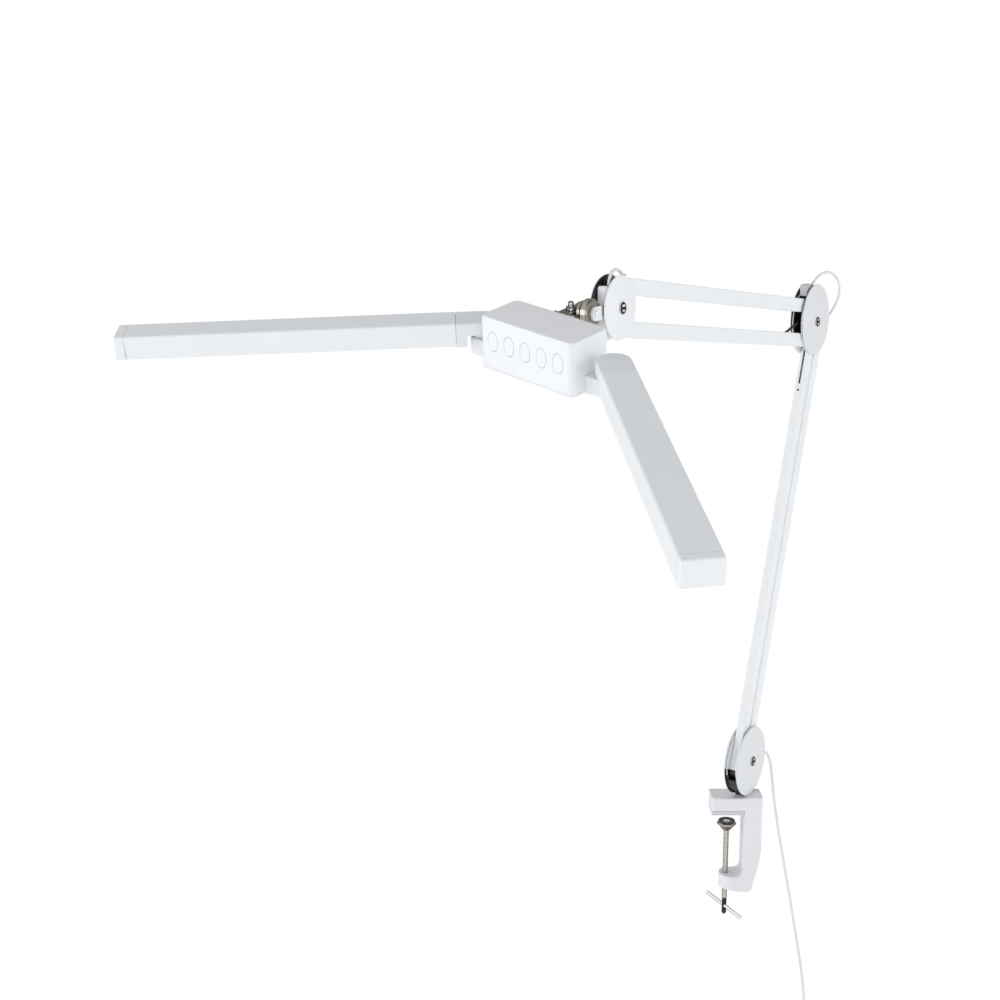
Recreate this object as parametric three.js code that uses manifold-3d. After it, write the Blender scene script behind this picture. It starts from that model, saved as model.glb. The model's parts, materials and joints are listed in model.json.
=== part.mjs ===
// Swing arm desk lamp: a bench clamp, two parallelogram arms and a head with two folding light bars.
// Millimetres, +Z up. The origin is on the clamp screw's axis, at the underside of the jaw pad.

import * as THREE from 'three';
import { mergeVertices } from 'three/addons/utils/BufferGeometryUtils.js';
import Module from 'manifold-3d';

const wasm = await Module();
wasm.setup();

// ---------------------------------------------------------------- driving dimensions

const GAP = 0.3; // clearance between neighbouring pieces
const LAP = 0.5; // how far solids that are joined run into each other
const PAST = 1; // how far a cutting solid runs past the surface
const ROUND = 14; // segments of each half of a hub's circle

// Clamp
const CLAMP_WIDTH = 28;
const PAD_THICKNESS = 3.7;
const PAD_INSET = 0.5;
const PAD_GROOVE = 0.5;
const JAW_THICKNESS = 15;
const JAW_REACH = 18; // from the screw's axis to the jaw's free end
const THROAT = 16.5; // from the screw's axis to the spine
const SPINE_DEPTH = 19;
const JAW_OPENING = 70; // from the pad down to the lower jaw
const LOWER_JAW_THICKNESS = 12;
const LOWER_JAW_FALL = 5; // how much deeper the lower jaw is at the spine
const SPINE_STRAIGHT = 38; // below the pad, where the spine starts to taper
const CLAMP_EDGE = 1;
const JAW_CORNER = 3.5; // of the upper jaw, seen from above
const LOWER_JAW_CENTRE = 7; // of the lower jaw's round end, from the screw's axis
const THROAT_FILLET = 8;
const HEEL_RUN = 7;
const HEEL_RISE = 6;
const SPINE_TAPER = 5.5;
const SPINE_CURVE = 24; // above the lower jaw, where the spine's back is bent most

// Clamp screw
const SCREW_R = 2.9;
const SCREW_TRAVEL = 11; // how far the swivel pad stands below the jaw pad
const SWIVEL_R = 10.3;
const SWIVEL_HEIGHT = 10;
const SWIVEL_NECK_R = 4.6;
const SWIVEL_SOCKET = 6;
const SWIVEL_RIM = 4;
const SWIVEL_EDGE = 0.8;
const SWIVEL_LAND = 2.4; // width of the ring that meets the desk
const SWIVEL_DISH = 0.9;
const SLEEVE_R = 3.8;
const SLEEVE_TOP = -99;
const SLEEVE_LENGTH = 18.5;
const SLEEVE_CHAMFER = 0.8;
const SCREW_POINT = 1;
const TIP_R = 2.2;
const TIP_ROUND = 0.7;
const TIP_TAPER = 3.2;
const BAR_R = 1.5;
const BAR_LENGTH = 61;
const BAR_DROP = 9.3; // from the top of the sleeve to the tommy bar
const BAR_KNOB_R = 1.9;
const BAR_KNOB_LENGTH = 1.6;
const BAR_KNOB_EDGE = 0.4;
const BAR_AZIMUTH = -66;

// Base post and its bush
const POST_X = 17;
const POST_R = 4;
const BUSH_WALL = 2.4;
const FLANGE_R = 8.5;
const FLANGE_THICKNESS = 0.6;
const SOCKET_FLOOR = 1.5;
const POST_ROOF = 6; // from the top of the hub's block down to the post's hole

// Layers of every hub, measured from the arm's mid plane
const TUBE_HALF = 4;
const PLATE_THICKNESS = 1.2;
const COVER_THICKNESS = 1.5;
const COVER_CROWN = 1.7;
const COVER_EDGE = 0.6;
const COVER_ROUND = 0.4;
const COVER_STEPS = 3;
const PIVOT_R = 3.2;
const COVER_SCREW_R = 2.4;
const SCREW_HEAD_R = 5.2;
const SCREW_HEAD_HEIGHT = 1.2;
const SCREW_HEAD_EDGE = 0.6;
const SCREW_SLOT = 1.2;
const SCREW_SLOT_DEPTH = 0.6;

// Arm tubes
const TUBE_HEIGHT = 14;
const TUBE_WALL = 0.9;
const TUBE_EDGE = 0.6;
const LOWER_TUBE = 471.5;
const LOWER_ANGLE = 70.25;
const LOWER_SPACING = 21;
const UPPER_TUBE = 411.1;
const UPPER_ANGLE = 5.79;
const UPPER_SPACING = 36.2;
const SPRING_SLOT_WIDTH = 2.2;
const SPRING_SLOT_LENGTH = 36;
const SPRING_SLOT_END = 22; // from the slot to the elbow's pivot
const SPRING_HOLE_R = 1.3;
const SPRING_HOLE_STEP = 7; // from the slot to the hole
const SPRING_STEP = 12; // from the slot to the spring
const SPRING_LENGTH = 95;
const SPRING_COIL = 8;
const SPRING_GROOVE = 0.7;

// Base hub
const BASE_LIFT = 4; // from the top of the clamp to the hub's plates
const ARM_YAW = 57.12;
const BASE_PLATE_R = 34;
const COVER_LIP = 2.5; // how far the covers stand out over the plates
const BASE_PIVOT_X = -22.5;
const BASE_PIVOT_Z = -5;
const BLOCK_CLEAR = 1; // below the lower tubes
const NECK_HALF = 9.5;
const NECK_ROOT = 10; // from the top of the block down to the top of the neck
const GLAND_HEIGHT = -8;
const GLAND_R = 2.3;
const GLAND_SEAT = 20; // where the gland's seat starts along the arm
const GLAND_SEAT_INSET = 1.5;
const GLAND_BORE = 23;
const GLAND_COLLAR = 1;
const GLAND_COLLAR_LENGTH = 1.6;
const GLAND_SHOULDER = 0.6;
const GLAND_LIP = 0.2;
const GLAND_LIP_LENGTH = 0.4;
const GLAND_END = 46;

// Elbow
const ELBOW_PIVOT_X = 4; // front pivot of the lower arm
const ELBOW_PIVOT_Z = -12;
const ELBOW_BACK_X = -22; // pivots of the upper arm
const CORE_CLEAR = 1.5;
const CLIP_LEFT = -20;
const CLIP_RIGHT = -1;
const CLIP_PROUD = 6; // above the hub's rim
const CLIP_ROOT = 14; // below the hub's rim, before the rim is cut out
const CLIP_CORNER = 2;
const CLIP_EDGE = 0.6;
const LEAD_BORE = 8; // depth of the lead's hole in the elbow
const LEAD_STOP = 2; // from the end of that hole to the lead's end
const LEAD_ENTRY_Z = 0;

// The upper spring's hook
const HOOK_R = 1.5;
const HOOK_BEND = 62; // from the elbow pivot, along the tube
const HOOK_RUN = 49.5;
const HOOK_RISE = 17.5;
const HOOK_SHANK = 8;

// Head hub and yoke
const HEAD_COVER_R = 26.8;
const HEAD_NEAR_R = 25.5;
const HEAD_FAR_R = 27.5;
const HEAD_PIVOT_X = 5;
const YOKE_LEFT = -20;
const YOKE_RIGHT = -9.1;
const YOKE_TOP = 18.5;
const YOKE_BOTTOM = -16;
const YOKE_CORNER = 2.5;
const YOKE_EDGE = 0.8;
const HEAD_FAR_CUT = [-6, -9]; // the far plate stops here, below and towards the wrist
const LUG_R = 5.8;
const LUG_NEAR = -4;
const LUG_FAR = 2;
const LUG_ROOT = 3; // how far the lug runs into the yoke
const LUG_EDGE = 0.5;

// Wrist: tilt, roll and swivel
const TILT_X = -38.6;
const TILT_Z = -2.5;
const TILT_ANGLE = 15.64;
const TILT_BOLT_R = 2.2;
const TILT_HEAD_R = 4.2;
const TILT_HEAD_HEIGHT = 1.9;
const TILT_HEAD_EDGE = 0.8;
const WASHER_R = 6.6;
const WASHER_THICKNESS = 2.1;
const KNUCKLE_R = 10.5;
const KNUCKLE_THICKNESS = 2.2;
const KNUCKLE_EDGE = 0.4;
const KNUCKLE_WEB = 9;
const STEM_Y = 14.6; // the stem's axis from the arm's mid plane
const STEM_R = 3.2;
const BARREL_WALL = 2;
const BARREL_FRONT = 1.3;
const BARREL_LENGTH = 11.7;
const ROLL_ANGLE = 7.88;
const PIN_X = -5.05;
const PIN_R = 2.4;
const PIN_LUG_R = 6;
const PIN_LUG_HALF = 2;
const PIN_SHAFT_TOP = 12;
const PIN_CAP = 2.5;
const PIN_CAP_LIP = 0.6;
const PIN_CAP_EDGE = 1;
const PIN_WAIST = 0.2;
const PIN_COLLAR_R = 4;
const PIN_COLLAR = 1.9;
const PIN_HEAD = 2.2;
const PIN_EDGE = 0.5;
const SWIVEL_ANGLE = -101.48;
const FLANGE_PLATE = 2.5;
const BRACKET_R = 5.6;
const BRACKET_WEB = 1.5;
const BRACKET_EDGE = 0.3;
const BRACKET_HALF = 9;
const BRACKET_DROP = 12;

// Head housing, in the frame of the swivel pin
const BOX_LENGTH = 99;
const BOX_DEPTH = 45;
const BOX_HEIGHT = 46;
const BOX_TOP = 5.8;
const BOX_BACK = -11;
const BOX_WALL = 2;
const BOX_CORNER = 6;
const BOX_EDGE = 3;
const COVER_PLATE = 2.3;
const COVER_PLATE_EDGE = 0.6;
const COVER_RIM = 2.5;
const COVER_RIM_WALL = 1.5;

// Buttons
const BUTTONS = 5;
const BUTTON_PITCH = 17.25;
const BUTTON_WIDTH = 10.5;
const BUTTON_HEIGHT = 16.5;
const BUTTON_DROP = 20; // centres below the housing's top
const BUTTON_PROUD = 0.3;
const BUTTON_EDGE = 0.3;
const BUTTON_FLANGE = 1;
const BUTTON_FLANGE_LIP = 1.2;
const BUTTON_TRAVEL = 0.6;
const BUTTON_PLUNGER_R = 2;
const BUTTON_PLUNGER = 0.6;
const BOARD_THICKNESS = 1.6;

// Light bars
const HINGE_OUT = 20.5; // hinge axis outside the end of the housing
const HINGE_BACK = 25; // hinge axis behind the housing's front
const HINGE_LUG_R = 10;
const HINGE_LUG_HEIGHT = 14.9;
const HINGE_LUG_ROOT = 6; // how far the lug's foot runs under the housing
const HINGE_FLOOR = 1.5; // below the hinge pin
const HINGE_ROOF = 3; // above the hinge pin
const HINGE_PIN_R = 3;
const SPACER_R = 8.5;
const LEFT_FOLD = 44.82;
const RIGHT_FOLD = 40.48;
const LIGHT_WIDTH = 29;
const LIGHT_HEIGHT = 20.5;
const LIGHT_BOTTOM = 10.4; // above the housing's bottom
const LIGHT_REACH = 302; // from the hinge axis to the outer end
const LIGHT_WALL = 1.8;
const LIGHT_EDGE = 2;
const TONGUE = 10.7;
const TONGUE_STEP = 3;
const HINGE_CAP = 22;
const END_CAP = 8;
const END_EDGE = 1.5;
const SPIGOT = 6;
const SPIGOT_WALL = 2;
const DIFFUSER = 2;
const STRIP_WIDTH = 18;
const STRIP_THICKNESS = 1.2;
const LED_PITCH = 22;
const LED_SIZE = 3;
const LED_HEIGHT = 0.8;

// Leads
const LEAD_R = 1.3;
const CORD_R = 1.45;
const CORD_SIDES = 8;
const COIL_R = 16.5;
const COIL_HALF = 6;
const COIL_CHAMFER = 2;
const COIL_CENTRE = [86, 52, -284];
const PLUG_WIDTH = 15.5;
const PLUG_DEPTH = 8;
const PLUG_GRIP = 24;
const PLUG_CORNER = 2;
const PLUG_EDGE = 1;
const PLUG_SHELL = [12, 4.5, 18];
const PLUG_SHELL_WALL = 0.6;
const PLUG_TONGUE = 0.2; // the tongue's face, behind the shell's mid plane
const PLUG_MOUTH = 16; // depth of the shell's mouth
const PLUG_NECK = 9;
const PLUG_NECK_R = 3;
const PLUG_NECK_TAPER = 0.3;
const PLUG_DROP = 2; // from the coil's rim to the plug's neck

// ---------------------------------------------------------------- sizes that follow

const JAW_BOTTOM = PAD_THICKNESS + GAP;
const JAW_TOP = JAW_BOTTOM + JAW_THICKNESS;
const SPINE_BACK = THROAT + SPINE_DEPTH;
const BASE_HEIGHT = JAW_TOP + BASE_LIFT + BASE_PLATE_R; // the hub's centre above the origin
const BASE_COVER_R = BASE_PLATE_R + COVER_LIP;
const HEEL_BOTTOM = -JAW_OPENING - LOWER_JAW_THICKNESS - LOWER_JAW_FALL;
const PLATE_IN = TUBE_HALF + GAP;
const PLATE_OUT = PLATE_IN + PLATE_THICKNESS;
const COVER_IN = PLATE_OUT + GAP;
const COVER_RIM_OUT = COVER_IN + COVER_THICKNESS;
const COVER_TOP = COVER_RIM_OUT + COVER_CROWN;
const TUBE_R = TUBE_HEIGHT / 2;
const BOX_BOTTOM = BOX_TOP - BOX_HEIGHT;
const BOX_FRONT = BOX_BACK - BOX_DEPTH;
const COVER_PLATE_TOP = BOX_BOTTOM + COVER_PLATE;
const HINGE_X = BOX_LENGTH / 2 + HINGE_OUT;
const HINGE_Y = BOX_FRONT + HINGE_BACK;
const LIGHT_TOP = LIGHT_BOTTOM + LIGHT_HEIGHT;
const TONGUE_BOTTOM = LIGHT_TOP - TONGUE;
const TONGUE_R = LIGHT_WIDTH / 2;
const HUB_BOTTOM = JAW_TOP + GAP + FLANGE_THICKNESS + GAP - BASE_HEIGHT;
const CORE_LEFT = ELBOW_BACK_X + TUBE_R + CORE_CLEAR;
const CORE_BOTTOM = ELBOW_PIVOT_Z + TUBE_R + GAP * 2;
const BASE_BLOCK_TOP = BASE_PIVOT_Z - TUBE_R - BLOCK_CLEAR;
const POST_TOP = BASE_BLOCK_TOP - POST_ROOF;
const UPPER_HALF = UPPER_SPACING / 2;

// ---------------------------------------------------------------- solids

const AXIS_FRAME = {
  x: new THREE.Matrix4().makeBasis(unit(1), unit(2), unit(0)),
  y: new THREE.Matrix4().makeBasis(unit(0), unit(2), unit(1).negate()),
  z: new THREE.Matrix4(),
};

function unit(index) {
  return new THREE.Vector3().setComponent(index, 1);
}

function rad(degrees) {
  return THREE.MathUtils.degToRad(degrees);
}

// A closed geometry as a solid that can be joined and cut.
function solidOf(geometry) {
  const bare = new THREE.BufferGeometry();
  bare.setAttribute('position', geometry.getAttribute('position'));
  bare.setIndex(geometry.getIndex());
  const merged = mergeVertices(bare, 1e-4);
  const index = merged.getIndex().array;
  const triangles = [];
  for (let i = 0; i < index.length; i += 3) {
    const [a, b, c] = [index[i], index[i + 1], index[i + 2]];
    if (a !== b && b !== c && c !== a) triangles.push(a, b, c);
  }
  return new wasm.Manifold(new wasm.Mesh({
    numProp: 3,
    vertProperties: new Float32Array(merged.getAttribute('position').array),
    triVerts: new Uint32Array(triangles),
  }));
}

function geometryOf(solid) {
  const mesh = solid.getMesh();
  const geometry = new THREE.BufferGeometry();
  geometry.setAttribute('position', new THREE.BufferAttribute(mesh.vertProperties, 3));
  geometry.setIndex(new THREE.BufferAttribute(mesh.triVerts, 1));
  geometry.computeVertexNormals();
  return geometry;
}

function join(...solids) {
  return solids.reduce((whole, next) => whole.add(next));
}

function cut(solid, ...tools) {
  return tools.reduce((rest, tool) => rest.subtract(tool), solid);
}

function block(x0, x1, y0, y1, z0, z1) {
  const box = new THREE.BoxGeometry(x1 - x0, y1 - y0, z1 - z0);
  return solidOf(box.translate((x0 + x1) / 2, (y0 + y1) / 2, (z0 + z1) / 2));
}

// A shape drawn square to an axis and pushed from one place on it to another.
function prism(shape, axis, from, to, edge = 0, curveSegments = 5) {
  const geometry = new THREE.ExtrudeGeometry(shape, {
    depth: to - from - 2 * edge,
    curveSegments,
    bevelEnabled: edge > 0,
    bevelThickness: edge,
    bevelSize: edge,
    bevelOffset: -edge,
    bevelSegments: edge > 1 ? 2 : 1,
  });
  geometry.translate(0, 0, edge).applyMatrix4(AXIS_FRAME[axis]);
  const shift = { x: [from, 0, 0], y: [0, to, 0], z: [0, 0, from] }[axis];
  return solidOf(geometry.translate(...shift));
}

function turned(geometry, axis) {
  if (axis === 'x') geometry.rotateZ(-Math.PI / 2);
  if (axis === 'z') geometry.rotateX(Math.PI / 2);
  return geometry;
}

function rod(axis, radius, from, to, segments = 14) {
  const cylinder = new THREE.CylinderGeometry(radius, radius, to - from, segments);
  return solidOf(turned(cylinder.translate(0, (from + to) / 2, 0), axis));
}

// A profile of [radius, height] points, from its low end up the outside, turned about an axis.
function revolve(profile, axis, segments = 24) {
  const points = profile.map(([radius, height]) => new THREE.Vector2(radius, height));
  return solidOf(turned(new THREE.LatheGeometry(points, segments), axis));
}

function circle(radius, x = 0, y = 0) {
  return new THREE.Shape().absarc(x, y, radius, 0, 2 * Math.PI);
}

function roundedRect(x0, x1, y0, y1, r) {
  const shape = new THREE.Shape();
  shape.absarc(x1 - r, y1 - r, r, 0, Math.PI / 2);
  shape.absarc(x0 + r, y1 - r, r, Math.PI / 2, Math.PI);
  shape.absarc(x0 + r, y0 + r, r, Math.PI, 1.5 * Math.PI);
  shape.absarc(x1 - r, y0 + r, r, 1.5 * Math.PI, 2 * Math.PI);
  shape.closePath();
  return shape;
}

// A strip along +x with a half round about the start and a square end.
function tongueShape(radius, end) {
  const shape = new THREE.Shape();
  shape.absarc(0, 0, radius, Math.PI / 2, 1.5 * Math.PI);
  shape.lineTo(end, -radius);
  shape.lineTo(end, radius);
  shape.closePath();
  return shape;
}

// A strip between two centres with half round ends.
function stadium(radius, length) {
  const shape = new THREE.Shape();
  shape.absarc(0, 0, radius, Math.PI / 2, 1.5 * Math.PI);
  shape.absarc(length, 0, radius, -Math.PI / 2, Math.PI / 2);
  shape.closePath();
  return shape;
}

function lead(points, radius) {
  const path = new THREE.CatmullRomCurve3(points.map((p) => new THREE.Vector3(...p)));
  const section = new THREE.Shape();
  for (let i = 0; i < CORD_SIDES; i += 1) {
    const angle = (2 * Math.PI * i) / CORD_SIDES;
    const corner = [radius * Math.cos(angle), radius * Math.sin(angle)];
    if (i === 0) section.moveTo(...corner);
    else section.lineTo(...corner);
  }
  const steps = Math.round(path.getLength() / (5 * radius));
  return solidOf(new THREE.ExtrudeGeometry(section, { steps, extrudePath: path }));
}

// ---------------------------------------------------------------- finishes

const FINISH = {
  white: { color: 0xe9edf1, roughness: 0.38, metalness: 0 },
  whitePlastic: { color: 0xe8ecf0, roughness: 0.45, metalness: 0 },
  diffuser: { color: 0xf4f6f7, roughness: 0.6, metalness: 0 },
  black: { color: 0x121315, roughness: 0.4, metalness: 0 },
  nickel: { color: 0xb9b2a6, roughness: 0.22, metalness: 1 },
  steel: { color: 0xa9abad, roughness: 0.35, metalness: 1 },
  board: { color: 0x2d5a3c, roughness: 0.5, metalness: 0 },
  aluminium: { color: 0xc8cacc, roughness: 0.45, metalness: 1 },
};

function piece(name, solid, finish) {
  const mesh = new THREE.Mesh(geometryOf(solid), new THREE.MeshStandardMaterial(FINISH[finish]));
  mesh.name = name;
  return mesh;
}

// ---------------------------------------------------------------- clamp

function clampSide() {
  const bottom = -JAW_OPENING;
  const side = new THREE.Shape();
  side.moveTo(-JAW_REACH, JAW_BOTTOM);
  side.lineTo(THROAT, JAW_BOTTOM);
  side.lineTo(THROAT, bottom + THROAT_FILLET);
  side.quadraticCurveTo(THROAT, bottom, THROAT - THROAT_FILLET, bottom);
  side.lineTo(-JAW_REACH, bottom);
  side.lineTo(-JAW_REACH, bottom - LOWER_JAW_THICKNESS);
  side.lineTo(THROAT, HEEL_BOTTOM);
  side.quadraticCurveTo(THROAT + HEEL_RUN, HEEL_BOTTOM, THROAT + HEEL_RUN, HEEL_BOTTOM + HEEL_RISE);
  side.lineTo(SPINE_BACK - SPINE_TAPER, bottom + THROAT_FILLET);
  side.quadraticCurveTo(SPINE_BACK, bottom + SPINE_CURVE, SPINE_BACK, -SPINE_STRAIGHT);
  side.lineTo(SPINE_BACK, JAW_TOP);
  side.lineTo(-JAW_REACH, JAW_TOP);
  side.closePath();
  return side;
}

// Seen from above: square corners on the upper jaw, a round end on the lower one.
function clampPlan() {
  const half = CLAMP_WIDTH / 2;
  const split = -JAW_OPENING / 2;
  const upper = prism(roundedRect(-JAW_REACH, SPINE_BACK, -half, half, JAW_CORNER), 'z', split, JAW_TOP);
  const round = new THREE.Shape();
  round.absarc(LOWER_JAW_CENTRE, 0, half, Math.PI / 2, 1.5 * Math.PI);
  round.lineTo(SPINE_BACK, -half);
  round.lineTo(SPINE_BACK, half);
  round.closePath();
  return join(upper, prism(round, 'z', HEEL_BOTTOM - PAST, split));
}

function clampFrame() {
  const half = CLAMP_WIDTH / 2;
  const body = prism(clampSide(), 'y', -half, half, CLAMP_EDGE).intersect(clampPlan());
  const socketR = POST_R + GAP + BUSH_WALL + GAP;
  const socket = rod('z', socketR, JAW_BOTTOM + SOCKET_FLOOR, JAW_TOP + PAST, 32);
  const screwHole = rod('z', SCREW_R + GAP, HEEL_BOTTOM, PAST - JAW_OPENING);
  return cut(body, socket.translate([POST_X, 0, 0]), screwHole);
}

function jawPad() {
  const half = CLAMP_WIDTH / 2 - PAD_INSET;
  const pad = block(PAD_INSET - JAW_REACH, THROAT - 2 * PAD_INSET, -half, half, 0, PAD_THICKNESS);
  const grooves = [];
  for (const y of [-half, half]) {
    for (const level of [1, 2]) {
      const z = (PAD_THICKNESS * level) / 3 - PAD_GROOVE / 2;
      grooves.push(block(-JAW_REACH, THROAT, y - PAD_GROOVE, y + PAD_GROOVE, z, z + PAD_GROOVE));
    }
  }
  return cut(pad, ...grooves);
}

function socketBush() {
  const inner = POST_R + GAP;
  const outer = inner + BUSH_WALL;
  const low = JAW_BOTTOM + SOCKET_FLOOR + GAP;
  const under = JAW_TOP + GAP;
  const profile = [
    [inner, low], [outer, low], [outer, under], [FLANGE_R, under],
    [FLANGE_R, under + FLANGE_THICKNESS], [inner, under + FLANGE_THICKNESS], [inner, low],
  ];
  return revolve(profile, 'z', 24).translate([POST_X, 0, 0]);
}

function clampScrew() {
  const tip = SLEEVE_TOP - SLEEVE_LENGTH;
  const top = SWIVEL_SOCKET - GAP - SCREW_TRAVEL - SWIVEL_HEIGHT;
  const profile = [
    [0, tip], [TIP_R, tip + TIP_ROUND], [SLEEVE_R, tip + TIP_TAPER], [SLEEVE_R, SLEEVE_TOP],
    [SCREW_R, SLEEVE_TOP + SLEEVE_CHAMFER], [SCREW_R, top - SCREW_POINT],
    [SCREW_R - SCREW_POINT, top], [0, top],
  ];
  const hole = rod('x', BAR_R + GAP / 2, -2 * SLEEVE_R, 2 * SLEEVE_R);
  const drilled = cut(revolve(profile, 'z'), hole.translate([0, 0, SLEEVE_TOP - BAR_DROP]));
  return drilled.rotate([0, 0, BAR_AZIMUTH]);
}

function swivelPad() {
  const top = -SCREW_TRAVEL;
  const low = top - SWIVEL_HEIGHT;
  const socketTop = low + SWIVEL_SOCKET;
  const bore = SCREW_R + GAP;
  const dish = SWIVEL_R - SWIVEL_LAND;
  const profile = [
    [0, socketTop], [bore, socketTop], [bore, low], [SWIVEL_NECK_R, low],
    [SWIVEL_R - SWIVEL_EDGE, top - SWIVEL_RIM], [SWIVEL_R, top - SWIVEL_RIM + SWIVEL_EDGE],
    [SWIVEL_R, top], [dish, top], [dish - SWIVEL_DISH, top - SWIVEL_DISH], [0, top - SWIVEL_DISH],
  ];
  return revolve(profile, 'z', 24);
}

function tommyBar() {
  const end = BAR_LENGTH / 2;
  const neck = end - BAR_KNOB_LENGTH;
  const face = BAR_KNOB_R - BAR_KNOB_EDGE;
  const profile = [
    [0, -end], [face, -end], [BAR_KNOB_R, BAR_KNOB_EDGE - end], [BAR_KNOB_R, -neck],
    [BAR_R, -neck], [BAR_R, neck], [BAR_KNOB_R, neck], [BAR_KNOB_R, end - BAR_KNOB_EDGE],
    [face, end], [0, end],
  ];
  const bar = revolve(profile, 'x', 12);
  return bar.rotate([0, 0, BAR_AZIMUTH]).translate([0, 0, SLEEVE_TOP - BAR_DROP]);
}

function clamp() {
  const group = new THREE.Group();
  group.add(
    piece('clamp_frame', clampFrame(), 'white'),
    piece('jaw_pad', jawPad(), 'whitePlastic'),
    piece('socket_bush', socketBush(), 'whitePlastic'),
    piece('clamp_screw', clampScrew(), 'nickel'),
    piece('swivel_pad', swivelPad(), 'nickel'),
    piece('tommy_bar', tommyBar(), 'nickel'),
  );
  return group;
}

// ---------------------------------------------------------------- pieces that every hub has

function hubPlate(radius, side) {
  const plate = prism(circle(radius), 'y', PLATE_IN, PLATE_OUT, 0, ROUND);
  return side > 0 ? plate : plate.mirror([0, 1, 0]);
}

function pivotBoss([x, z]) {
  return rod('y', PIVOT_R, -PLATE_IN - GAP, PLATE_IN + GAP, 20).translate([x, 0, z]);
}

function coverHole() {
  return rod('y', COVER_SCREW_R + GAP, -PLATE_OUT - PAST, PLATE_OUT + PAST);
}

function coverDisc(radius) {
  const bore = COVER_SCREW_R + GAP;
  const face = radius - COVER_ROUND;
  const profile = [[bore, COVER_IN], [radius - COVER_EDGE, COVER_IN], [radius, COVER_IN + COVER_EDGE]];
  for (let step = 0; step <= COVER_STEPS; step += 1) {
    const r = face - ((face - bore) * step) / COVER_STEPS;
    const crown = 1 - ((r - bore) / (radius - bore)) ** 2;
    profile.push([r, COVER_RIM_OUT + COVER_CROWN * crown]);
  }
  profile.push([bore, COVER_IN]);
  return revolve(profile, 'y', 32);
}

// A slotted screw on the far side: its shank ends at the height given.
function coverScrew(end) {
  const seat = COVER_TOP + GAP;
  const top = seat + SCREW_HEAD_HEIGHT;
  const profile = [
    [0, end], [COVER_SCREW_R, end], [COVER_SCREW_R, seat],
    [SCREW_HEAD_R, seat], [SCREW_HEAD_R, top - SCREW_HEAD_EDGE], [SCREW_HEAD_R - SCREW_HEAD_EDGE, top],
    [0, top],
  ];
  const half = SCREW_SLOT / 2;
  const slot = block(-SCREW_HEAD_R, SCREW_HEAD_R, top - SCREW_SLOT_DEPTH, top + PAST, -half, half);
  return cut(revolve(profile, 'y', 14), slot);
}

function coverDiscs(prefix, radius) {
  const disc = coverDisc(radius);
  return [
    piece(`${prefix}_disc_near`, disc.rotate([0, 0, 180]), 'white'),
    piece(`${prefix}_disc_far`, disc, 'white'),
  ];
}

// One bolt holds both covers where nothing stands in the hub's middle.
function throughBolt(prefix) {
  const half = coverScrew(-LAP);
  return piece(`${prefix}_bolt`, join(half, half.rotate([0, 0, 180])), 'nickel');
}

function screwPair(prefix) {
  const screw = coverScrew(PLATE_IN + GAP);
  return [
    piece(`${prefix}_screw_near`, screw.rotate([0, 0, 180]), 'nickel'),
    piece(`${prefix}_screw_far`, screw, 'nickel'),
  ];
}

// ---------------------------------------------------------------- arm tubes

// A flat oval-ended tube from its pivot at the origin along +x, open at its pivot holes.
function armTube(length, ...openings) {
  const outer = prism(stadium(TUBE_R, length), 'y', -TUBE_HALF, TUBE_HALF, TUBE_EDGE);
  const inside = TUBE_HALF - TUBE_WALL;
  const hollow = prism(stadium(TUBE_R - TUBE_WALL, length), 'y', -inside, inside);
  const hole = rod('y', PIVOT_R + GAP, -TUBE_HALF - PAST, TUBE_HALF + PAST, 20);
  return cut(outer, hollow, hole, hole.translate([length, 0, 0]), ...openings);
}

function tubeSlot(from) {
  const half = SPRING_SLOT_WIDTH / 2;
  return block(from, from + SPRING_SLOT_LENGTH, -half, half, TUBE_R - 2 * TUBE_WALL, TUBE_R + PAST);
}

function tubeHole(at) {
  return rod('z', SPRING_HOLE_R, TUBE_R - 2 * TUBE_WALL, TUBE_R + PAST, 12).translate([at, 0, 0]);
}

function springInside(from) {
  const outer = TUBE_HALF - TUBE_WALL - GAP;
  const coils = Math.round(SPRING_LENGTH / SPRING_COIL);
  const profile = [[0, from]];
  for (let i = 0; i < coils; i += 1) {
    const start = from + i * SPRING_COIL;
    profile.push([outer - SPRING_GROOVE, start], [outer, start + SPRING_COIL / 2]);
  }
  profile.push([outer - SPRING_GROOVE, from + SPRING_LENGTH], [0, from + SPRING_LENGTH]);
  return revolve(profile, 'x', 8);
}

function atPivot([x, z], angle, ...meshes) {
  const group = new THREE.Group();
  group.position.set(x, 0, z);
  group.rotation.y = -rad(angle);
  group.add(...meshes);
  return group;
}

// ---------------------------------------------------------------- base

const BASE_PIVOTS = [[BASE_PIVOT_X, BASE_PIVOT_Z], [BASE_PIVOT_X + LOWER_SPACING, BASE_PIVOT_Z]];

function baseHub() {
  const disc = prism(circle(BASE_PLATE_R), 'y', -PLATE_OUT, PLATE_OUT, 0, ROUND);
  const r = BASE_PLATE_R + PAST;
  const above = block(-r, r, -PLATE_IN, PLATE_IN, BASE_BLOCK_TOP, r);
  const neckTop = BASE_BLOCK_TOP - NECK_ROOT;
  const neck = block(-NECK_HALF, NECK_HALF, -PLATE_OUT, PLATE_OUT, HUB_BOTTOM, neckTop);
  const seatTop = GLAND_HEIGHT + 2 * GLAND_R + LAP;
  const seatEnd = BASE_PLATE_R - GLAND_SEAT_INSET;
  const seat = block(GLAND_SEAT, seatEnd, -PLATE_IN, PLATE_IN, BASE_BLOCK_TOP - LAP, seatTop);
  const glandHole = rod('x', GLAND_R + GAP, GLAND_BORE, r).translate([0, 0, GLAND_HEIGHT]);
  const postHole = rod('z', POST_R + GAP, HUB_BOTTOM - PAST, POST_TOP, 20);
  const solid = join(cut(disc, above), neck, seat, ...BASE_PIVOTS.map(pivotBoss));
  return cut(solid, glandHole, postHole, coverHole());
}

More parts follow.
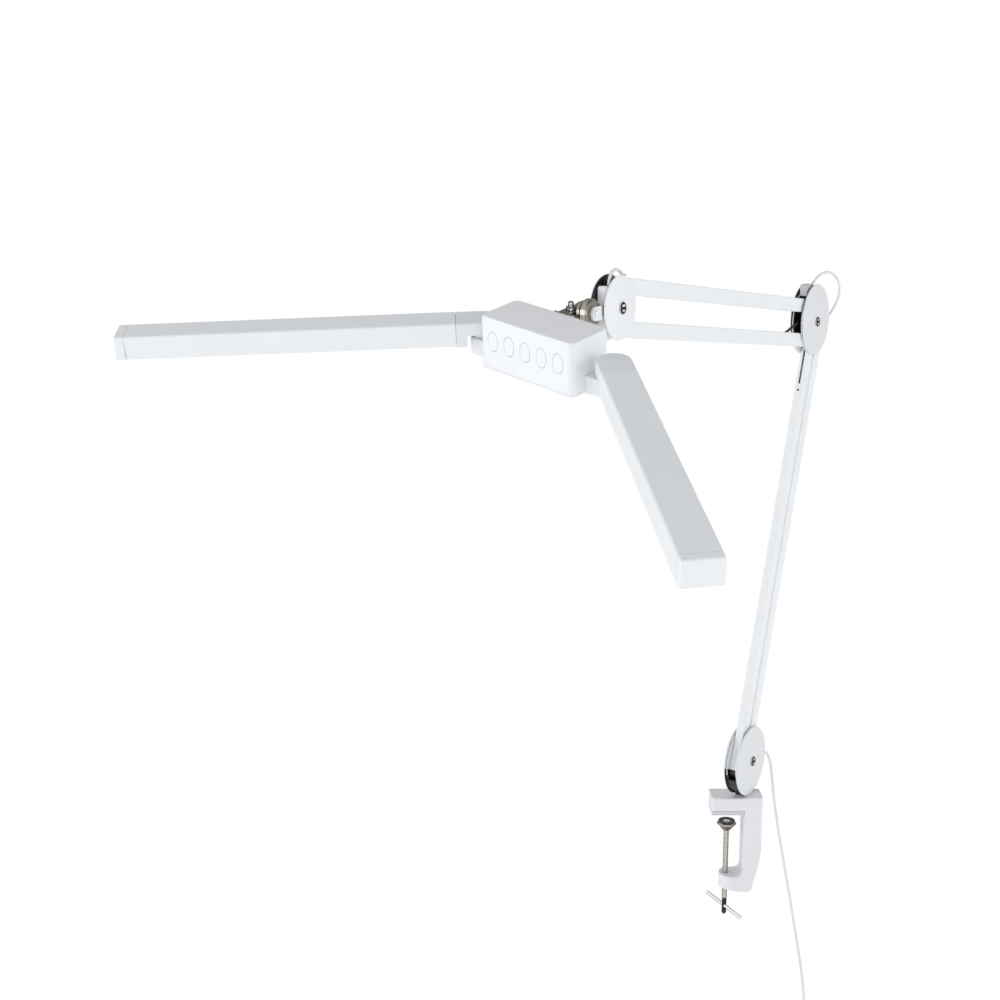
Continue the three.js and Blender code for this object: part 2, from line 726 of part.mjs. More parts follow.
function basePost() {
  const low = JAW_BOTTOM + SOCKET_FLOOR + 2 * GAP - BASE_HEIGHT;
  return rod('z', POST_R, low, POST_TOP - GAP, 24);
}

function cordGland() {
  const start = GLAND_BORE + GAP;
  const face = Math.sqrt(BASE_PLATE_R ** 2 - GLAND_HEIGHT ** 2) + GAP;
  const collar = GLAND_R + GLAND_COLLAR;
  const collarEnd = face + GLAND_COLLAR_LENGTH;
  const profile = [
    [0, start], [GLAND_R, start], [GLAND_R, face], [collar, face], [collar, collarEnd],
    [GLAND_R, collarEnd + GLAND_SHOULDER], [CORD_R + GLAND_LIP, GLAND_END - GLAND_LIP_LENGTH],
    [CORD_R, GLAND_END], [0, GLAND_END],
  ];
  return revolve(profile, 'x', 16).translate([0, 0, GLAND_HEIGHT]);
}

function base() {
  const group = new THREE.Group();
  group.position.set(POST_X, 0, BASE_HEIGHT);
  group.rotation.z = rad(ARM_YAW);
  group.add(
    piece('base_post', basePost(), 'steel'),
    piece('base_hub', baseHub(), 'black'),
    ...coverDiscs('base', BASE_COVER_R),
    ...screwPair('base'),
    piece('cord_gland', cordGland(), 'whitePlastic'),
    ...lowerArm(),
    elbow(),
  );
  return group;
}

// ---------------------------------------------------------------- lower arm

function lowerArm() {
  const slotStart = LOWER_TUBE - SPRING_SLOT_END - SPRING_SLOT_LENGTH;
  const front = armTube(LOWER_TUBE, tubeSlot(slotStart), tubeHole(slotStart - SPRING_HOLE_STEP));
  return [
    atPivot(
      BASE_PIVOTS[0],
      LOWER_ANGLE,
      piece('lower_front_tube', front, 'white'),
      piece('lower_spring', springInside(slotStart - SPRING_STEP - SPRING_LENGTH), 'steel'),
    ),
    atPivot(BASE_PIVOTS[1], LOWER_ANGLE, piece('lower_rear_tube', armTube(LOWER_TUBE), 'white')),
  ];
}

// ---------------------------------------------------------------- elbow

const ELBOW_LOWER = [[ELBOW_PIVOT_X, ELBOW_PIVOT_Z], [ELBOW_PIVOT_X + LOWER_SPACING, ELBOW_PIVOT_Z]];
const ELBOW_UPPER = [[ELBOW_BACK_X, UPPER_HALF], [ELBOW_BACK_X, -UPPER_HALF]];

function elbowHub() {
  const disc = prism(circle(BASE_PLATE_R), 'y', -PLATE_OUT, PLATE_OUT, 0, ROUND);
  const r = BASE_PLATE_R + PAST;
  const frontSpace = block(-r, CORE_LEFT, -PLATE_IN, PLATE_IN, -r, r);
  const lowSpace = block(-r, r, -PLATE_IN, PLATE_IN, -r, CORE_BOTTOM);
  const leadHole = rod('x', LEAD_R + GAP, BASE_PLATE_R - LEAD_BORE, r).translate([0, 0, LEAD_ENTRY_Z]);
  const bosses = [...ELBOW_LOWER, ...ELBOW_UPPER].map(pivotBoss);
  return cut(join(cut(disc, frontSpace, lowSpace), ...bosses), coverHole(), leadHole);
}

// A saddle on the hub's rim that holds the lead.
function leadClip() {
  const half = TUBE_HALF;
  const root = BASE_PLATE_R - CLIP_ROOT;
  const side = roundedRect(CLIP_LEFT, CLIP_RIGHT, root, BASE_PLATE_R + CLIP_PROUD, CLIP_CORNER);
  const body = prism(side, 'y', -half, half, CLIP_EDGE, 4);
  return cut(body, rod('y', BASE_PLATE_R + GAP, -half - PAST, half + PAST, 40));
}

const ELBOW_LEAD = [
  [CLIP_RIGHT + 3.5 * GAP, 0, 37.6], [6, -1, 41.8], [15, -2.5, 47], [25, -4, 50], [36, -6, 50.3],
  [47, -8, 47], [55, -9.5, 41], [59, -10, 33], [58, -9.5, 23], [53, -7, 12], [48, -4, 4.5],
  [42, -1.5, 1], [36, 0, 0], [BASE_PLATE_R - LEAD_BORE + LEAD_STOP, 0, LEAD_ENTRY_Z],
];

function elbow() {
  const group = new THREE.Group();
  const angle = rad(LOWER_ANGLE);
  group.position.set(
    BASE_PIVOT_X + LOWER_TUBE * Math.cos(angle) - ELBOW_PIVOT_X,
    0,
    BASE_PIVOT_Z + LOWER_TUBE * Math.sin(angle) - ELBOW_PIVOT_Z,
  );
  group.add(
    piece('elbow_hub', elbowHub(), 'black'),
    ...coverDiscs('elbow', BASE_COVER_R),
    throughBolt('elbow'),
    piece('lead_clip', leadClip(), 'black'),
    piece('elbow_lead', lead(ELBOW_LEAD, LEAD_R), 'whitePlastic'),
    ...upperArm(),
    headEnd(),
  );
  return group;
}

// ---------------------------------------------------------------- upper arm

const UPPER_RUN = [-UPPER_TUBE * Math.cos(rad(UPPER_ANGLE)), UPPER_TUBE * Math.sin(rad(UPPER_ANGLE))];
const HEAD_CENTRE = [ELBOW_BACK_X + UPPER_RUN[0] - HEAD_PIVOT_X, UPPER_RUN[1]];
const HEAD_PIVOTS = [[HEAD_PIVOT_X, UPPER_HALF], [HEAD_PIVOT_X, -UPPER_HALF]];

// The tension spring and its hook: a rod that leaves the tube through a slot, towards the elbow.
function hookedSpring() {
  const bend = UPPER_TUBE - HOOK_BEND;
  const end = bend - HOOK_SHANK;
  const length = Math.hypot(HOOK_RUN, HOOK_RISE);
  const slope = (Math.atan2(HOOK_RISE, HOOK_RUN) * 180) / Math.PI;
  const shank = rod('x', HOOK_R, end - LAP, bend, 12);
  const elbowBall = solidOf(new THREE.SphereGeometry(HOOK_R, 12, 8)).translate([bend, 0, 0]);
  const hook = rod('x', HOOK_R, 0, length, 12).rotate([0, -slope, 0]).translate([bend, 0, 0]);
  return join(springInside(end - SPRING_LENGTH), shank, elbowBall, hook);
}

// Where the sloping hook passes the tube's wall.
function hookSlot() {
  const reach = HOOK_RUN / HOOK_RISE;
  const inner = (TUBE_R - TUBE_WALL - 2 * HOOK_R) * reach;
  const outer = (TUBE_R + 2 * HOOK_R) * reach;
  const bend = UPPER_TUBE - HOOK_BEND;
  const half = HOOK_R + GAP;
  return block(bend + inner, bend + outer, -half, half, TUBE_R - 3 * TUBE_WALL, TUBE_R + PAST);
}

function upperArm() {
  const pivots = HEAD_PIVOTS.map(([x, z]) => [x + HEAD_CENTRE[0], z + HEAD_CENTRE[1]]);
  return [
    atPivot(pivots[0], -UPPER_ANGLE, piece('upper_top_tube', armTube(UPPER_TUBE), 'white')),
    atPivot(
      pivots[1],
      -UPPER_ANGLE,
      piece('upper_bottom_tube', armTube(UPPER_TUBE, hookSlot()), 'white'),
      piece('upper_spring', hookedSpring(), 'black'),
    ),
  ];
}

// ---------------------------------------------------------------- head hub and yoke

function headHub() {
  const r = HEAD_FAR_R + PAST;
  const nearPlate = hubPlate(HEAD_NEAR_R, -1);
  const nearCut = block(-r, YOKE_RIGHT + GAP, -PLATE_OUT - PAST, 0, -r, r);
  const farCut = block(-r, HEAD_FAR_CUT[0], 0, PLATE_OUT + PAST, -r, HEAD_FAR_CUT[1]);
  const core = block(YOKE_RIGHT + GAP, HEAD_PIVOT_X - TUBE_R - GAP, -PLATE_IN, PLATE_IN, -r, r);
  const rim = prism(circle(HEAD_NEAR_R), 'y', -PLATE_IN, PLATE_IN, 0, ROUND);
  const solid = join(
    cut(hubPlate(HEAD_FAR_R, 1), farCut),
    cut(nearPlate, nearCut),
    core.intersect(rim),
    ...HEAD_PIVOTS.map(pivotBoss),
  );
  return cut(solid, coverHole());
}

function headYoke() {
  const side = roundedRect(YOKE_LEFT, YOKE_RIGHT, YOKE_BOTTOM, YOKE_TOP, YOKE_CORNER);
  const body = prism(side, 'y', -PLATE_OUT, TUBE_HALF, YOKE_EDGE, 4);
  const lug = prism(stadium(LUG_R, YOKE_LEFT - TILT_X + LUG_ROOT), 'y', LUG_NEAR, LUG_FAR, LUG_EDGE);
  const bore = rod('y', TILT_BOLT_R + GAP, LUG_NEAR - PAST, LUG_FAR + PAST);
  return join(body, cut(lug, bore).translate([TILT_X, 0, TILT_Z]));
}

const HEAD_LEAD = [
  [-13, -3, YOKE_TOP + 2 * GAP], [-12, -3, 23.5], [-8, -2.5, 29], [-1.5, -2, 32.4], [5, -2, 33.3],
  [12, -2, 31.5], [18, -1.5, 28], [24, -1, 25.6], [31, -0.5, 24.6],
];

function headEnd() {
  const group = new THREE.Group();
  group.position.set(HEAD_CENTRE[0], 0, HEAD_CENTRE[1]);
  group.add(
    piece('head_hub', headHub(), 'black'),
    piece('head_yoke', headYoke(), 'white'),
    ...coverDiscs('head', HEAD_COVER_R),
    throughBolt('head'),
    piece('head_lead', lead(HEAD_LEAD, LEAD_R), 'whitePlastic'),
    wrist(),
  );
  return group;
}

// ---------------------------------------------------------------- wrist

const WASHER_NEAR = LUG_FAR + GAP;
const KNUCKLE_NEAR = WASHER_NEAR + WASHER_THICKNESS + GAP;
const KNUCKLE_FAR = KNUCKLE_NEAR + KNUCKLE_THICKNESS;
const BOLT_HEAD_FAR = LUG_NEAR - GAP;

function tiltWasher() {
  const bore = TILT_BOLT_R + GAP;
  const far = WASHER_NEAR + WASHER_THICKNESS;
  const profile = [
    [bore, WASHER_NEAR], [WASHER_R, WASHER_NEAR], [WASHER_R, far], [bore, far], [bore, WASHER_NEAR],
  ];
  return revolve(profile, 'y', 24);
}

function tiltBolt() {
  const end = KNUCKLE_FAR - GAP;
  const top = BOLT_HEAD_FAR - TILT_HEAD_HEIGHT;
  const face = TILT_HEAD_R - TILT_HEAD_EDGE;
  const profile = [
    [0, top], [face, top], [TILT_HEAD_R, top + TILT_HEAD_EDGE], [TILT_HEAD_R, BOLT_HEAD_FAR],
    [TILT_BOLT_R, BOLT_HEAD_FAR], [TILT_BOLT_R, end], [0, end],
  ];
  return revolve(profile, 'y', 20);
}

function knuckle() {
  const outer = STEM_R + GAP + BARREL_WALL;
  const bore = rod('y', TILT_BOLT_R + GAP, KNUCKLE_NEAR - PAST, KNUCKLE_FAR);
  const disc = prism(circle(KNUCKLE_R), 'y', KNUCKLE_NEAR, KNUCKLE_FAR, KNUCKLE_EDGE, 10);
  const end = BARREL_FRONT + BARREL_LENGTH;
  const web = block(BARREL_FRONT, KNUCKLE_WEB, KNUCKLE_FAR - LAP, STEM_Y, -outer, outer);
  const barrel = rod('x', outer, BARREL_FRONT, end, 24).translate([0, STEM_Y, 0]);
  const stemBore = rod('x', STEM_R + GAP, 0, end - BARREL_WALL, 20).translate([0, STEM_Y, 0]);
  return cut(join(disc, web, barrel), bore, stemBore);
}

// Round in the barrel and flat where the swivel pin goes through it.
function stem() {
  const end = BARREL_FRONT + BARREL_LENGTH - BARREL_WALL - GAP;
  const shank = rod('x', STEM_R, BARREL_FRONT - LAP, end, 20);
  const flat = prism(circle(PIN_LUG_R, PIN_X, 0), 'z', -PIN_LUG_HALF, PIN_LUG_HALF, 0, 10);
  const neck = block(PIN_X, BARREL_FRONT, -STEM_R, STEM_R, -PIN_LUG_HALF, PIN_LUG_HALF);
  const hole = rod('z', PIN_R + GAP, -PIN_LUG_HALF - PAST, PIN_LUG_HALF + PAST).translate([PIN_X, 0, 0]);
  return cut(join(shank, flat, neck), hole);
}

const FLANGE_NEAR = PIN_LUG_HALF + GAP;
const FLANGE_FAR = FLANGE_NEAR + FLANGE_PLATE;

function swivelPin() {
  const seat = FLANGE_FAR + GAP;
  const foot = -seat - PIN_HEAD;
  const waist = PIN_R - PIN_WAIST;
  const cap = PIN_R + PIN_CAP_LIP;
  const top = PIN_SHAFT_TOP + PIN_CAP;
  const profile = [
    [0, foot], [PIN_COLLAR_R - PIN_EDGE, foot], [PIN_COLLAR_R, foot + PIN_EDGE], [PIN_COLLAR_R, -seat],
    [PIN_R, -seat], [PIN_R, seat], [PIN_COLLAR_R, seat], [PIN_COLLAR_R, seat + PIN_COLLAR],
    [waist, seat + PIN_COLLAR], [waist, PIN_SHAFT_TOP], [cap, PIN_SHAFT_TOP],
    [cap, top - PIN_CAP_EDGE], [PIN_R - PIN_CAP_EDGE, top], [0, top],
  ];
  return revolve(profile, 'z', 14);
}

// Two ears about the pin on a plate that is screwed to the back of the housing.
function headBracket() {
  const back = BOX_BACK + GAP;
  const web = block(-BRACKET_HALF, BRACKET_HALF, back, back + BRACKET_WEB, -BRACKET_DROP, FLANGE_FAR);
  const ear = new THREE.Shape();
  ear.absarc(0, 0, BRACKET_R, 0, Math.PI);
  ear.lineTo(-BRACKET_R, back);
  ear.lineTo(BRACKET_R, back);
  ear.closePath();
  const top = prism(ear, 'z', FLANGE_NEAR, FLANGE_FAR, BRACKET_EDGE);
  const low = prism(ear, 'z', -FLANGE_FAR, -FLANGE_NEAR, BRACKET_EDGE);
  return cut(join(web, top, low), rod('z', PIN_R + GAP, -FLANGE_FAR - PAST, FLANGE_FAR + PAST));
}

function wrist() {
  const tilt = new THREE.Group();
  tilt.position.set(TILT_X, 0, TILT_Z);
  tilt.rotation.y = -rad(TILT_ANGLE);
  const roll = new THREE.Group();
  roll.position.set(0, STEM_Y, 0);
  roll.rotation.x = rad(ROLL_ANGLE);
  const swivel = new THREE.Group();
  swivel.position.set(PIN_X, 0, 0);
  swivel.rotation.z = rad(SWIVEL_ANGLE);
  swivel.add(
    piece('swivel_pin', swivelPin(), 'nickel'),
    piece('head_bracket', headBracket(), 'nickel'),
    ...head(),
  );
  roll.add(piece('stem', stem(), 'nickel'), swivel);
  tilt.add(
    piece('tilt_washer', tiltWasher(), 'black'),
    piece('tilt_bolt', tiltBolt(), 'nickel'),
    piece('knuckle', knuckle(), 'nickel'),
    roll,
  );
  return tilt;
}

// ---------------------------------------------------------------- head

function boxPlan(inset, radius) {
  const half = BOX_LENGTH / 2 - inset;
  return roundedRect(-half, half, BOX_FRONT + inset, BOX_BACK - inset, radius);
}

function buttonShape(grow) {
  const shape = new THREE.Shape();
  return shape.absellipse(0, 0, BUTTON_WIDTH / 2 + grow, BUTTON_HEIGHT / 2 + grow, 0, 2 * Math.PI);
}

function buttonPlace(index) {
  return [(index - (BUTTONS - 1) / 2) * BUTTON_PITCH, 0, BOX_TOP - BUTTON_DROP];
}

function housing() {
  const low = COVER_PLATE_TOP + GAP;
  const outer = prism(boxPlan(0, BOX_CORNER), 'z', low - 2 * BOX_EDGE, BOX_TOP, BOX_EDGE, 4);
  const under = block(-BOX_LENGTH, BOX_LENGTH, BOX_FRONT - PAST, BOX_BACK + PAST, low - 3 * BOX_EDGE, low);
  const cavity = prism(boxPlan(BOX_WALL, BOX_CORNER - BOX_WALL), 'z', low - PAST, BOX_TOP - BOX_WALL, 0, 4);
  const hole = prism(buttonShape(GAP), 'y', BOX_FRONT - PAST, BOX_FRONT + BOX_WALL + PAST, 0, 12);
  const holes = Array.from({ length: BUTTONS }, (_, i) => hole.translate(buttonPlace(i)));
  const notch = block(
    -BOX_LENGTH,
    BOX_LENGTH,
    HINGE_Y - HINGE_LUG_R - GAP,
    HINGE_Y + HINGE_LUG_R + GAP,
    low - PAST,
    BOX_BOTTOM + HINGE_LUG_HEIGHT + GAP,
  );
  return cut(outer, under, cavity, notch, ...holes);
}

// The plate under the housing, with the two lugs that the light bars turn on.
function bottomCover() {
  const plate = prism(boxPlan(0, BOX_CORNER), 'z', BOX_BOTTOM, COVER_PLATE_TOP, COVER_PLATE_EDGE, 4);
  const inset = BOX_WALL + GAP;
  const rimTop = COVER_PLATE_TOP + COVER_RIM;
  const within = boxPlan(inset + COVER_RIM_WALL, BOX_CORNER - inset - COVER_RIM_WALL);
  const rim = cut(
    prism(boxPlan(inset, BOX_CORNER - inset), 'z', COVER_PLATE_TOP - LAP, rimTop, 0, 4),
    prism(within, 'z', COVER_PLATE_TOP, rimTop + PAST, 0, 4),
  );
  const lug = hingeLug();
  const left = lug.translate([-HINGE_X, HINGE_Y, 0]);
  const right = lug.rotate([0, 0, 180]).translate([HINGE_X, HINGE_Y, 0]);
  return join(plate, rim, left, right);
}

// Its foot runs under the housing and its upper part stops inside the housing's wall.
function hingeLug() {
  const top = BOX_BOTTOM + HINGE_LUG_HEIGHT;
  const plan = stadium(HINGE_LUG_R, HINGE_OUT + HINGE_LUG_ROOT);
  const solid = prism(plan, 'z', BOX_BOTTOM, top, COVER_PLATE_EDGE, 6);
  const wide = 2 * HINGE_LUG_R;
  const inside = HINGE_OUT + BOX_WALL + GAP + COVER_RIM_WALL;
  const bore = rod('z', HINGE_PIN_R + GAP, BOX_BOTTOM + HINGE_FLOOR, top + PAST);
  return cut(solid, bore, block(inside, inside + wide, -wide, wide, COVER_PLATE_TOP, top + PAST));
}

function button() {
  const flangeFront = BOX_FRONT + BOX_WALL + GAP;
  const flangeBack = flangeFront + BUTTON_FLANGE;
  const cap = prism(buttonShape(0), 'y', BOX_FRONT - BUTTON_PROUD, flangeBack, BUTTON_EDGE, 12);
  const flange = prism(buttonShape(BUTTON_FLANGE_LIP), 'y', flangeFront, flangeBack, 0, 10);
  const plunger = rod('y', BUTTON_PLUNGER_R, flangeBack - LAP, flangeBack + BUTTON_PLUNGER, 8);
  return join(cap, flange, plunger);
}

function controlBoard() {
  const plungerEnd = BOX_FRONT + BOX_WALL + GAP + BUTTON_FLANGE + BUTTON_PLUNGER;
  const front = plungerEnd + BUTTON_TRAVEL + GAP / 2;
  const half = BOX_LENGTH / 2 - BOX_WALL - GAP;
  const low = COVER_PLATE_TOP + COVER_RIM + GAP;
  return block(-half, half, front, front + BOARD_THICKNESS, low, BOX_TOP - BOX_WALL - GAP);
}

function head() {
  const pieces = [
    piece('housing', housing(), 'whitePlastic'),
    piece('bottom_cover', bottomCover(), 'whitePlastic'),
    piece('control_board', controlBoard(), 'board'),
    lightBar('left', -HINGE_X, 180 + LEFT_FOLD),
    lightBar('right', HINGE_X, -RIGHT_FOLD),
  ];
  for (let i = 0; i < BUTTONS; i += 1) {
    const mesh = piece(`button_${i + 1}`, button(), 'whitePlastic');
    mesh.position.set(...buttonPlace(i));
    pieces.push(mesh);
  }
  return pieces;
}

// ---------------------------------------------------------------- light bars

const SHELL_START = HINGE_CAP + GAP;
const SHELL_END = LIGHT_REACH - END_CAP - GAP;

function hingePin() {
  const foot = HINGE_FLOOR + GAP;
  const low = HINGE_LUG_HEIGHT + GAP;
  const high = TONGUE_BOTTOM - GAP;
  const top = LIGHT_TOP - HINGE_ROOF - GAP;
  const profile = [
    [0, foot], [HINGE_PIN_R, foot], [HINGE_PIN_R, low], [SPACER_R, low],
    [SPACER_R, high], [HINGE_PIN_R, high], [HINGE_PIN_R, top], [0, top],
  ];
  return revolve(profile, 'z', 24);
}

function spigot(from, to) {
  const half = LIGHT_WIDTH / 2 - LIGHT_WALL - GAP;
  const top = LIGHT_TOP - LIGHT_WALL - GAP;
  const low = LIGHT_BOTTOM + DIFFUSER + 2 * GAP;
  const inner = half - SPIGOT_WALL;
  return cut(
    block(from, to, -half, half, low, top),
    block(from - PAST, to + PAST, -inner, inner, low - PAST, top - SPIGOT_WALL),
  );
}

function hingeCap() {
  const over = HINGE_CAP + 2 * LIGHT_EDGE;
  const low = LIGHT_BOTTOM - 2 * LIGHT_EDGE;
  const outer = prism(tongueShape(TONGUE_R, over), 'z', low, LIGHT_TOP, LIGHT_EDGE, 7);
  const wide = LIGHT_WIDTH;
  const solid = cut(
    outer,
    block(-wide, over + PAST, -wide, wide, LIGHT_BOTTOM - 3 * LIGHT_EDGE, LIGHT_BOTTOM),
    block(HINGE_CAP, over + PAST, -wide, wide, 0, LIGHT_TOP + PAST),
    block(-wide, HINGE_LUG_R + TONGUE_STEP, -wide, wide, 0, TONGUE_BOTTOM),
    rod('z', HINGE_PIN_R + GAP, 0, LIGHT_TOP - HINGE_ROOF),
  );
  return join(solid, spigot(HINGE_CAP - LAP, HINGE_CAP + SPIGOT));
}

// The bar's cross-section is an inverted channel with the light opening below.
function barShell() {
  const half = LIGHT_WIDTH / 2;
  const shape = new THREE.Shape();
  shape.moveTo(half, LIGHT_BOTTOM);
  shape.absarc(half - LIGHT_EDGE, LIGHT_TOP - LIGHT_EDGE, LIGHT_EDGE, 0, Math.PI / 2);
  shape.absarc(LIGHT_EDGE - half, LIGHT_TOP - LIGHT_EDGE, LIGHT_EDGE, Math.PI / 2, Math.PI);
  shape.lineTo(-half, LIGHT_BOTTOM);
  shape.lineTo(LIGHT_WALL - half, LIGHT_BOTTOM);
  shape.lineTo(LIGHT_WALL - half, LIGHT_TOP - LIGHT_WALL);
  shape.lineTo(half - LIGHT_WALL, LIGHT_TOP - LIGHT_WALL);
  shape.lineTo(half - LIGHT_WALL, LIGHT_BOTTOM);
  shape.closePath();
  return prism(shape, 'x', SHELL_START, SHELL_END, 0, 4);
}

function endCap() {
  const half = LIGHT_WIDTH / 2;
  const inner = SHELL_END + GAP;
  const section = roundedRect(-half, half, LIGHT_BOTTOM, LIGHT_TOP, LIGHT_EDGE);
  const long = prism(section, 'x', inner - 2 * LIGHT_EDGE, LIGHT_REACH, END_EDGE, 4);
  const solid = cut(long, block(0, inner, -LIGHT_WIDTH, LIGHT_WIDTH, 0, LIGHT_TOP + PAST));
  return join(solid, spigot(inner - SPIGOT, inner + LAP));
}

function diffuser() {
  const half = LIGHT_WIDTH / 2 - LIGHT_WALL - GAP;
  return block(SHELL_START, SHELL_END, -half, half, LIGHT_BOTTOM + GAP, LIGHT_BOTTOM + GAP + DIFFUSER);
}

function ledStrip() {
  const from = HINGE_CAP + SPIGOT + GAP;
  const to = SHELL_END - SPIGOT;
  const top = LIGHT_TOP - LIGHT_WALL - GAP;
  const low = top - STRIP_THICKNESS;
  const leds = Math.floor((to - from - LED_SIZE) / LED_PITCH);
  let solid = block(from, to, -STRIP_WIDTH / 2, STRIP_WIDTH / 2, low, top);
  for (let i = 0; i <= leds; i += 1) {
    const x = from + LED_SIZE / 2 + i * LED_PITCH;
    solid = join(solid, block(x, x + LED_SIZE, -LED_SIZE / 2, LED_SIZE / 2, low - LED_HEIGHT, low + LAP));
  }
  return solid;
}

function lightBar(side, x, angle) {
  const group = new THREE.Group();
  group.position.set(x, HINGE_Y, BOX_BOTTOM);
  group.rotation.z = rad(angle);
  group.add(
    piece(`${side}_hinge_pin`, hingePin(), 'whitePlastic'),
    piece(`${side}_hinge_cap`, hingeCap(), 'whitePlastic'),
    piece(`${side}_bar_shell`, barShell(), 'white'),
    piece(`${side}_end_cap`, endCap(), 'whitePlastic'),
    piece(`${side}_diffuser`, diffuser(), 'diffuser'),
    piece(`${side}_led_strip`, ledStrip(), 'aluminium'),
  );
  return group;
}

// ---------------------------------------------------------------- supply cord

const GLAND_TIP = [
  POST_X + (GLAND_END + GAP) * Math.cos(rad(ARM_YAW)),
  (GLAND_END + GAP) * Math.sin(rad(ARM_YAW)),
  BASE_HEIGHT + GLAND_HEIGHT,
];

const CORD_ROUTE = [
  GLAND_TIP, [45.6, 43.3, 48.4], [49, 48, 45.3], [52, 50.6, 39.5], [54, 51.6, 32], [55.5, 52, 22],
  [57.2, 52, 8], [59, 52, -6], [61.5, 52, -22], [64.3, 52, -39], [67.6, 52, -57], [71, 52, -74],
  [74.5, 52, -92], [78, 52, -110], [81.6, 52, -128], [86, 52, -152], [90.5, 52, -176],
  [94.8, 52, -199], [98.3, 52, -221], [100.8, 52, -240], [102.2, 52, -256], [102.5, 52, -266.8],
];

// The shape that the tied coil fills: a ring about an axis along y.
function cordCoil() {
  const inner = COIL_R - COIL_HALF;
  const outer = COIL_R + COIL_HALF;
  const flat = COIL_HALF - COIL_CHAMFER;
  const profile = [
    [inner, -flat], [inner + COIL_CHAMFER, -COIL_HALF], [outer - COIL_CHAMFER, -COIL_HALF], [outer, -flat],
    [outer, flat], [outer - COIL_CHAMFER, COIL_HALF], [inner + COIL_CHAMFER, COIL_HALF], [inner, flat],
    [inner, -flat],
  ];
  return revolve(profile, 'y', 24).translate(COIL_CENTRE);
}

// A bare plug that hangs below the coil from the cord's outer turn.
function cordPlug() {
  const [width, depth, height] = PLUG_SHELL;
  const [x, y] = [PLUG_WIDTH / 2, PLUG_DEPTH / 2];
  const grip = prism(roundedRect(-x, x, -y, y, PLUG_CORNER), 'z', -PLUG_GRIP, 0, PLUG_EDGE, 3);
  const end = -PLUG_GRIP - height;
  const shell = block(-width / 2, width / 2, -depth / 2, depth / 2, end, LAP - PLUG_GRIP);
  const inner = width / 2 - PLUG_SHELL_WALL;
  const mouth = block(-inner, inner, -PLUG_TONGUE, depth / 2 - PLUG_SHELL_WALL, end - PAST, end + PLUG_MOUTH);
  const neckTop = CORD_R + PLUG_NECK_TAPER;
  const profile = [
    [0, -LAP], [PLUG_NECK_R, -LAP], [PLUG_NECK_R - PLUG_NECK_TAPER, PLUG_NECK / 2], [neckTop, PLUG_NECK],
    [0, PLUG_NECK],
  ];
  const plug = join(cut(join(grip, shell), mouth), revolve(profile, 'z', 16));
  const [cx, cy, cz] = COIL_CENTRE;
  const rim = Math.sqrt((COIL_R + COIL_HALF) ** 2 - COIL_R ** 2);
  return plug.translate([cx + COIL_R, cy, cz - rim - PLUG_NECK - PLUG_DROP]);
}

function cord() {
  const group = new THREE.Group();
  group.add(
    piece('power_cord', lead(CORD_ROUTE, CORD_R), 'whitePlastic'),
    piece('cord_coil', cordCoil(), 'whitePlastic'),
    piece('cord_plug', cordPlug(), 'whitePlastic'),
  );
  return group;
}

const lamp = new THREE.Group();
lamp.add(clamp(), base(), cord());

export default lamp;
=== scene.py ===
"""Swing arm desk lamp: the looks of a clamp-on lamp with two parallelogram arms and folding light bars."""

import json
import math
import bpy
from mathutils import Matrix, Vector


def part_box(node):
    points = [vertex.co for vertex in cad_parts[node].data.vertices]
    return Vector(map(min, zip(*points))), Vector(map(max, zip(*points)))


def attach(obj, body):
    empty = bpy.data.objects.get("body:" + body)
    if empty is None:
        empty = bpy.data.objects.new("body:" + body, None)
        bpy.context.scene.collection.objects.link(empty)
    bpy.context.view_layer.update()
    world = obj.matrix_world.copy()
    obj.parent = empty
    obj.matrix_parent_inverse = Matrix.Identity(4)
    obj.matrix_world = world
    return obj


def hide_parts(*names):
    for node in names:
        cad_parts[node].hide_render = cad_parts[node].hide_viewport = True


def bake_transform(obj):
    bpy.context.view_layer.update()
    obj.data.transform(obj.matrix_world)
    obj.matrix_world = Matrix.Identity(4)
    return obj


bl_info = {
    "name": "Swing Arm Desk Lamp",
    "version": (1, 0, 0),
    "blender": (4, 5, 0),
    "location": "3D View > Sidebar > Desk Lamp",
    "description": "Dresses a clamp-on swing arm desk lamp and sets up its studio",
    "category": "Object",
}

import bmesh
import bpy
from bpy.props import FloatProperty, FloatVectorProperty, IntProperty, PointerProperty
from mathutils import Matrix, Vector

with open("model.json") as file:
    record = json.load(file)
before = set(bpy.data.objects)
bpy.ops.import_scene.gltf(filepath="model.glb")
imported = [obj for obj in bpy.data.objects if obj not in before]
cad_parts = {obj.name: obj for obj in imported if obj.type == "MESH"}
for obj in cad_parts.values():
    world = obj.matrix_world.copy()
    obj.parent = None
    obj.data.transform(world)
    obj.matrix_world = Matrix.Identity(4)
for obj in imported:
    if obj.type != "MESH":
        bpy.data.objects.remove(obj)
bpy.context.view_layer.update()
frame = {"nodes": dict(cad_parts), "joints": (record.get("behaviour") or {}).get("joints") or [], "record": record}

MM = 0.001
NOTHING = 1e-6  # lengths below this count as none
NEAR = 0.1 * MM  # a point this close to a face lies on it
SHARP = math.radians(32)
FACING = 0.5  # the least cosine between a face and the way that it looks
FLAT = math.radians(0.6)  # faces closer in direction than this are one face
PROFILE_DIGITS = 5  # to which the places on a turned node are rounded

JOINTS = {joint["name"]: joint for joint in frame["joints"]}


# ---------------------------------------------------------------- sizes and colours


def tint(name, description, default):
    """A colour that a user can change."""
    return FloatVectorProperty(
        name=name, description=description, subtype="COLOR", size=3, default=default
    )


def distance(name, description, default):
    """A size in metres that a user can change."""
    return FloatProperty(
        name=name, description=description, subtype="DISTANCE", unit="LENGTH", default=default
    )


def strength(name, description, default):
    """A strength of light that a user can change."""
    return FloatProperty(name=name, description=description, default=default, min=0)


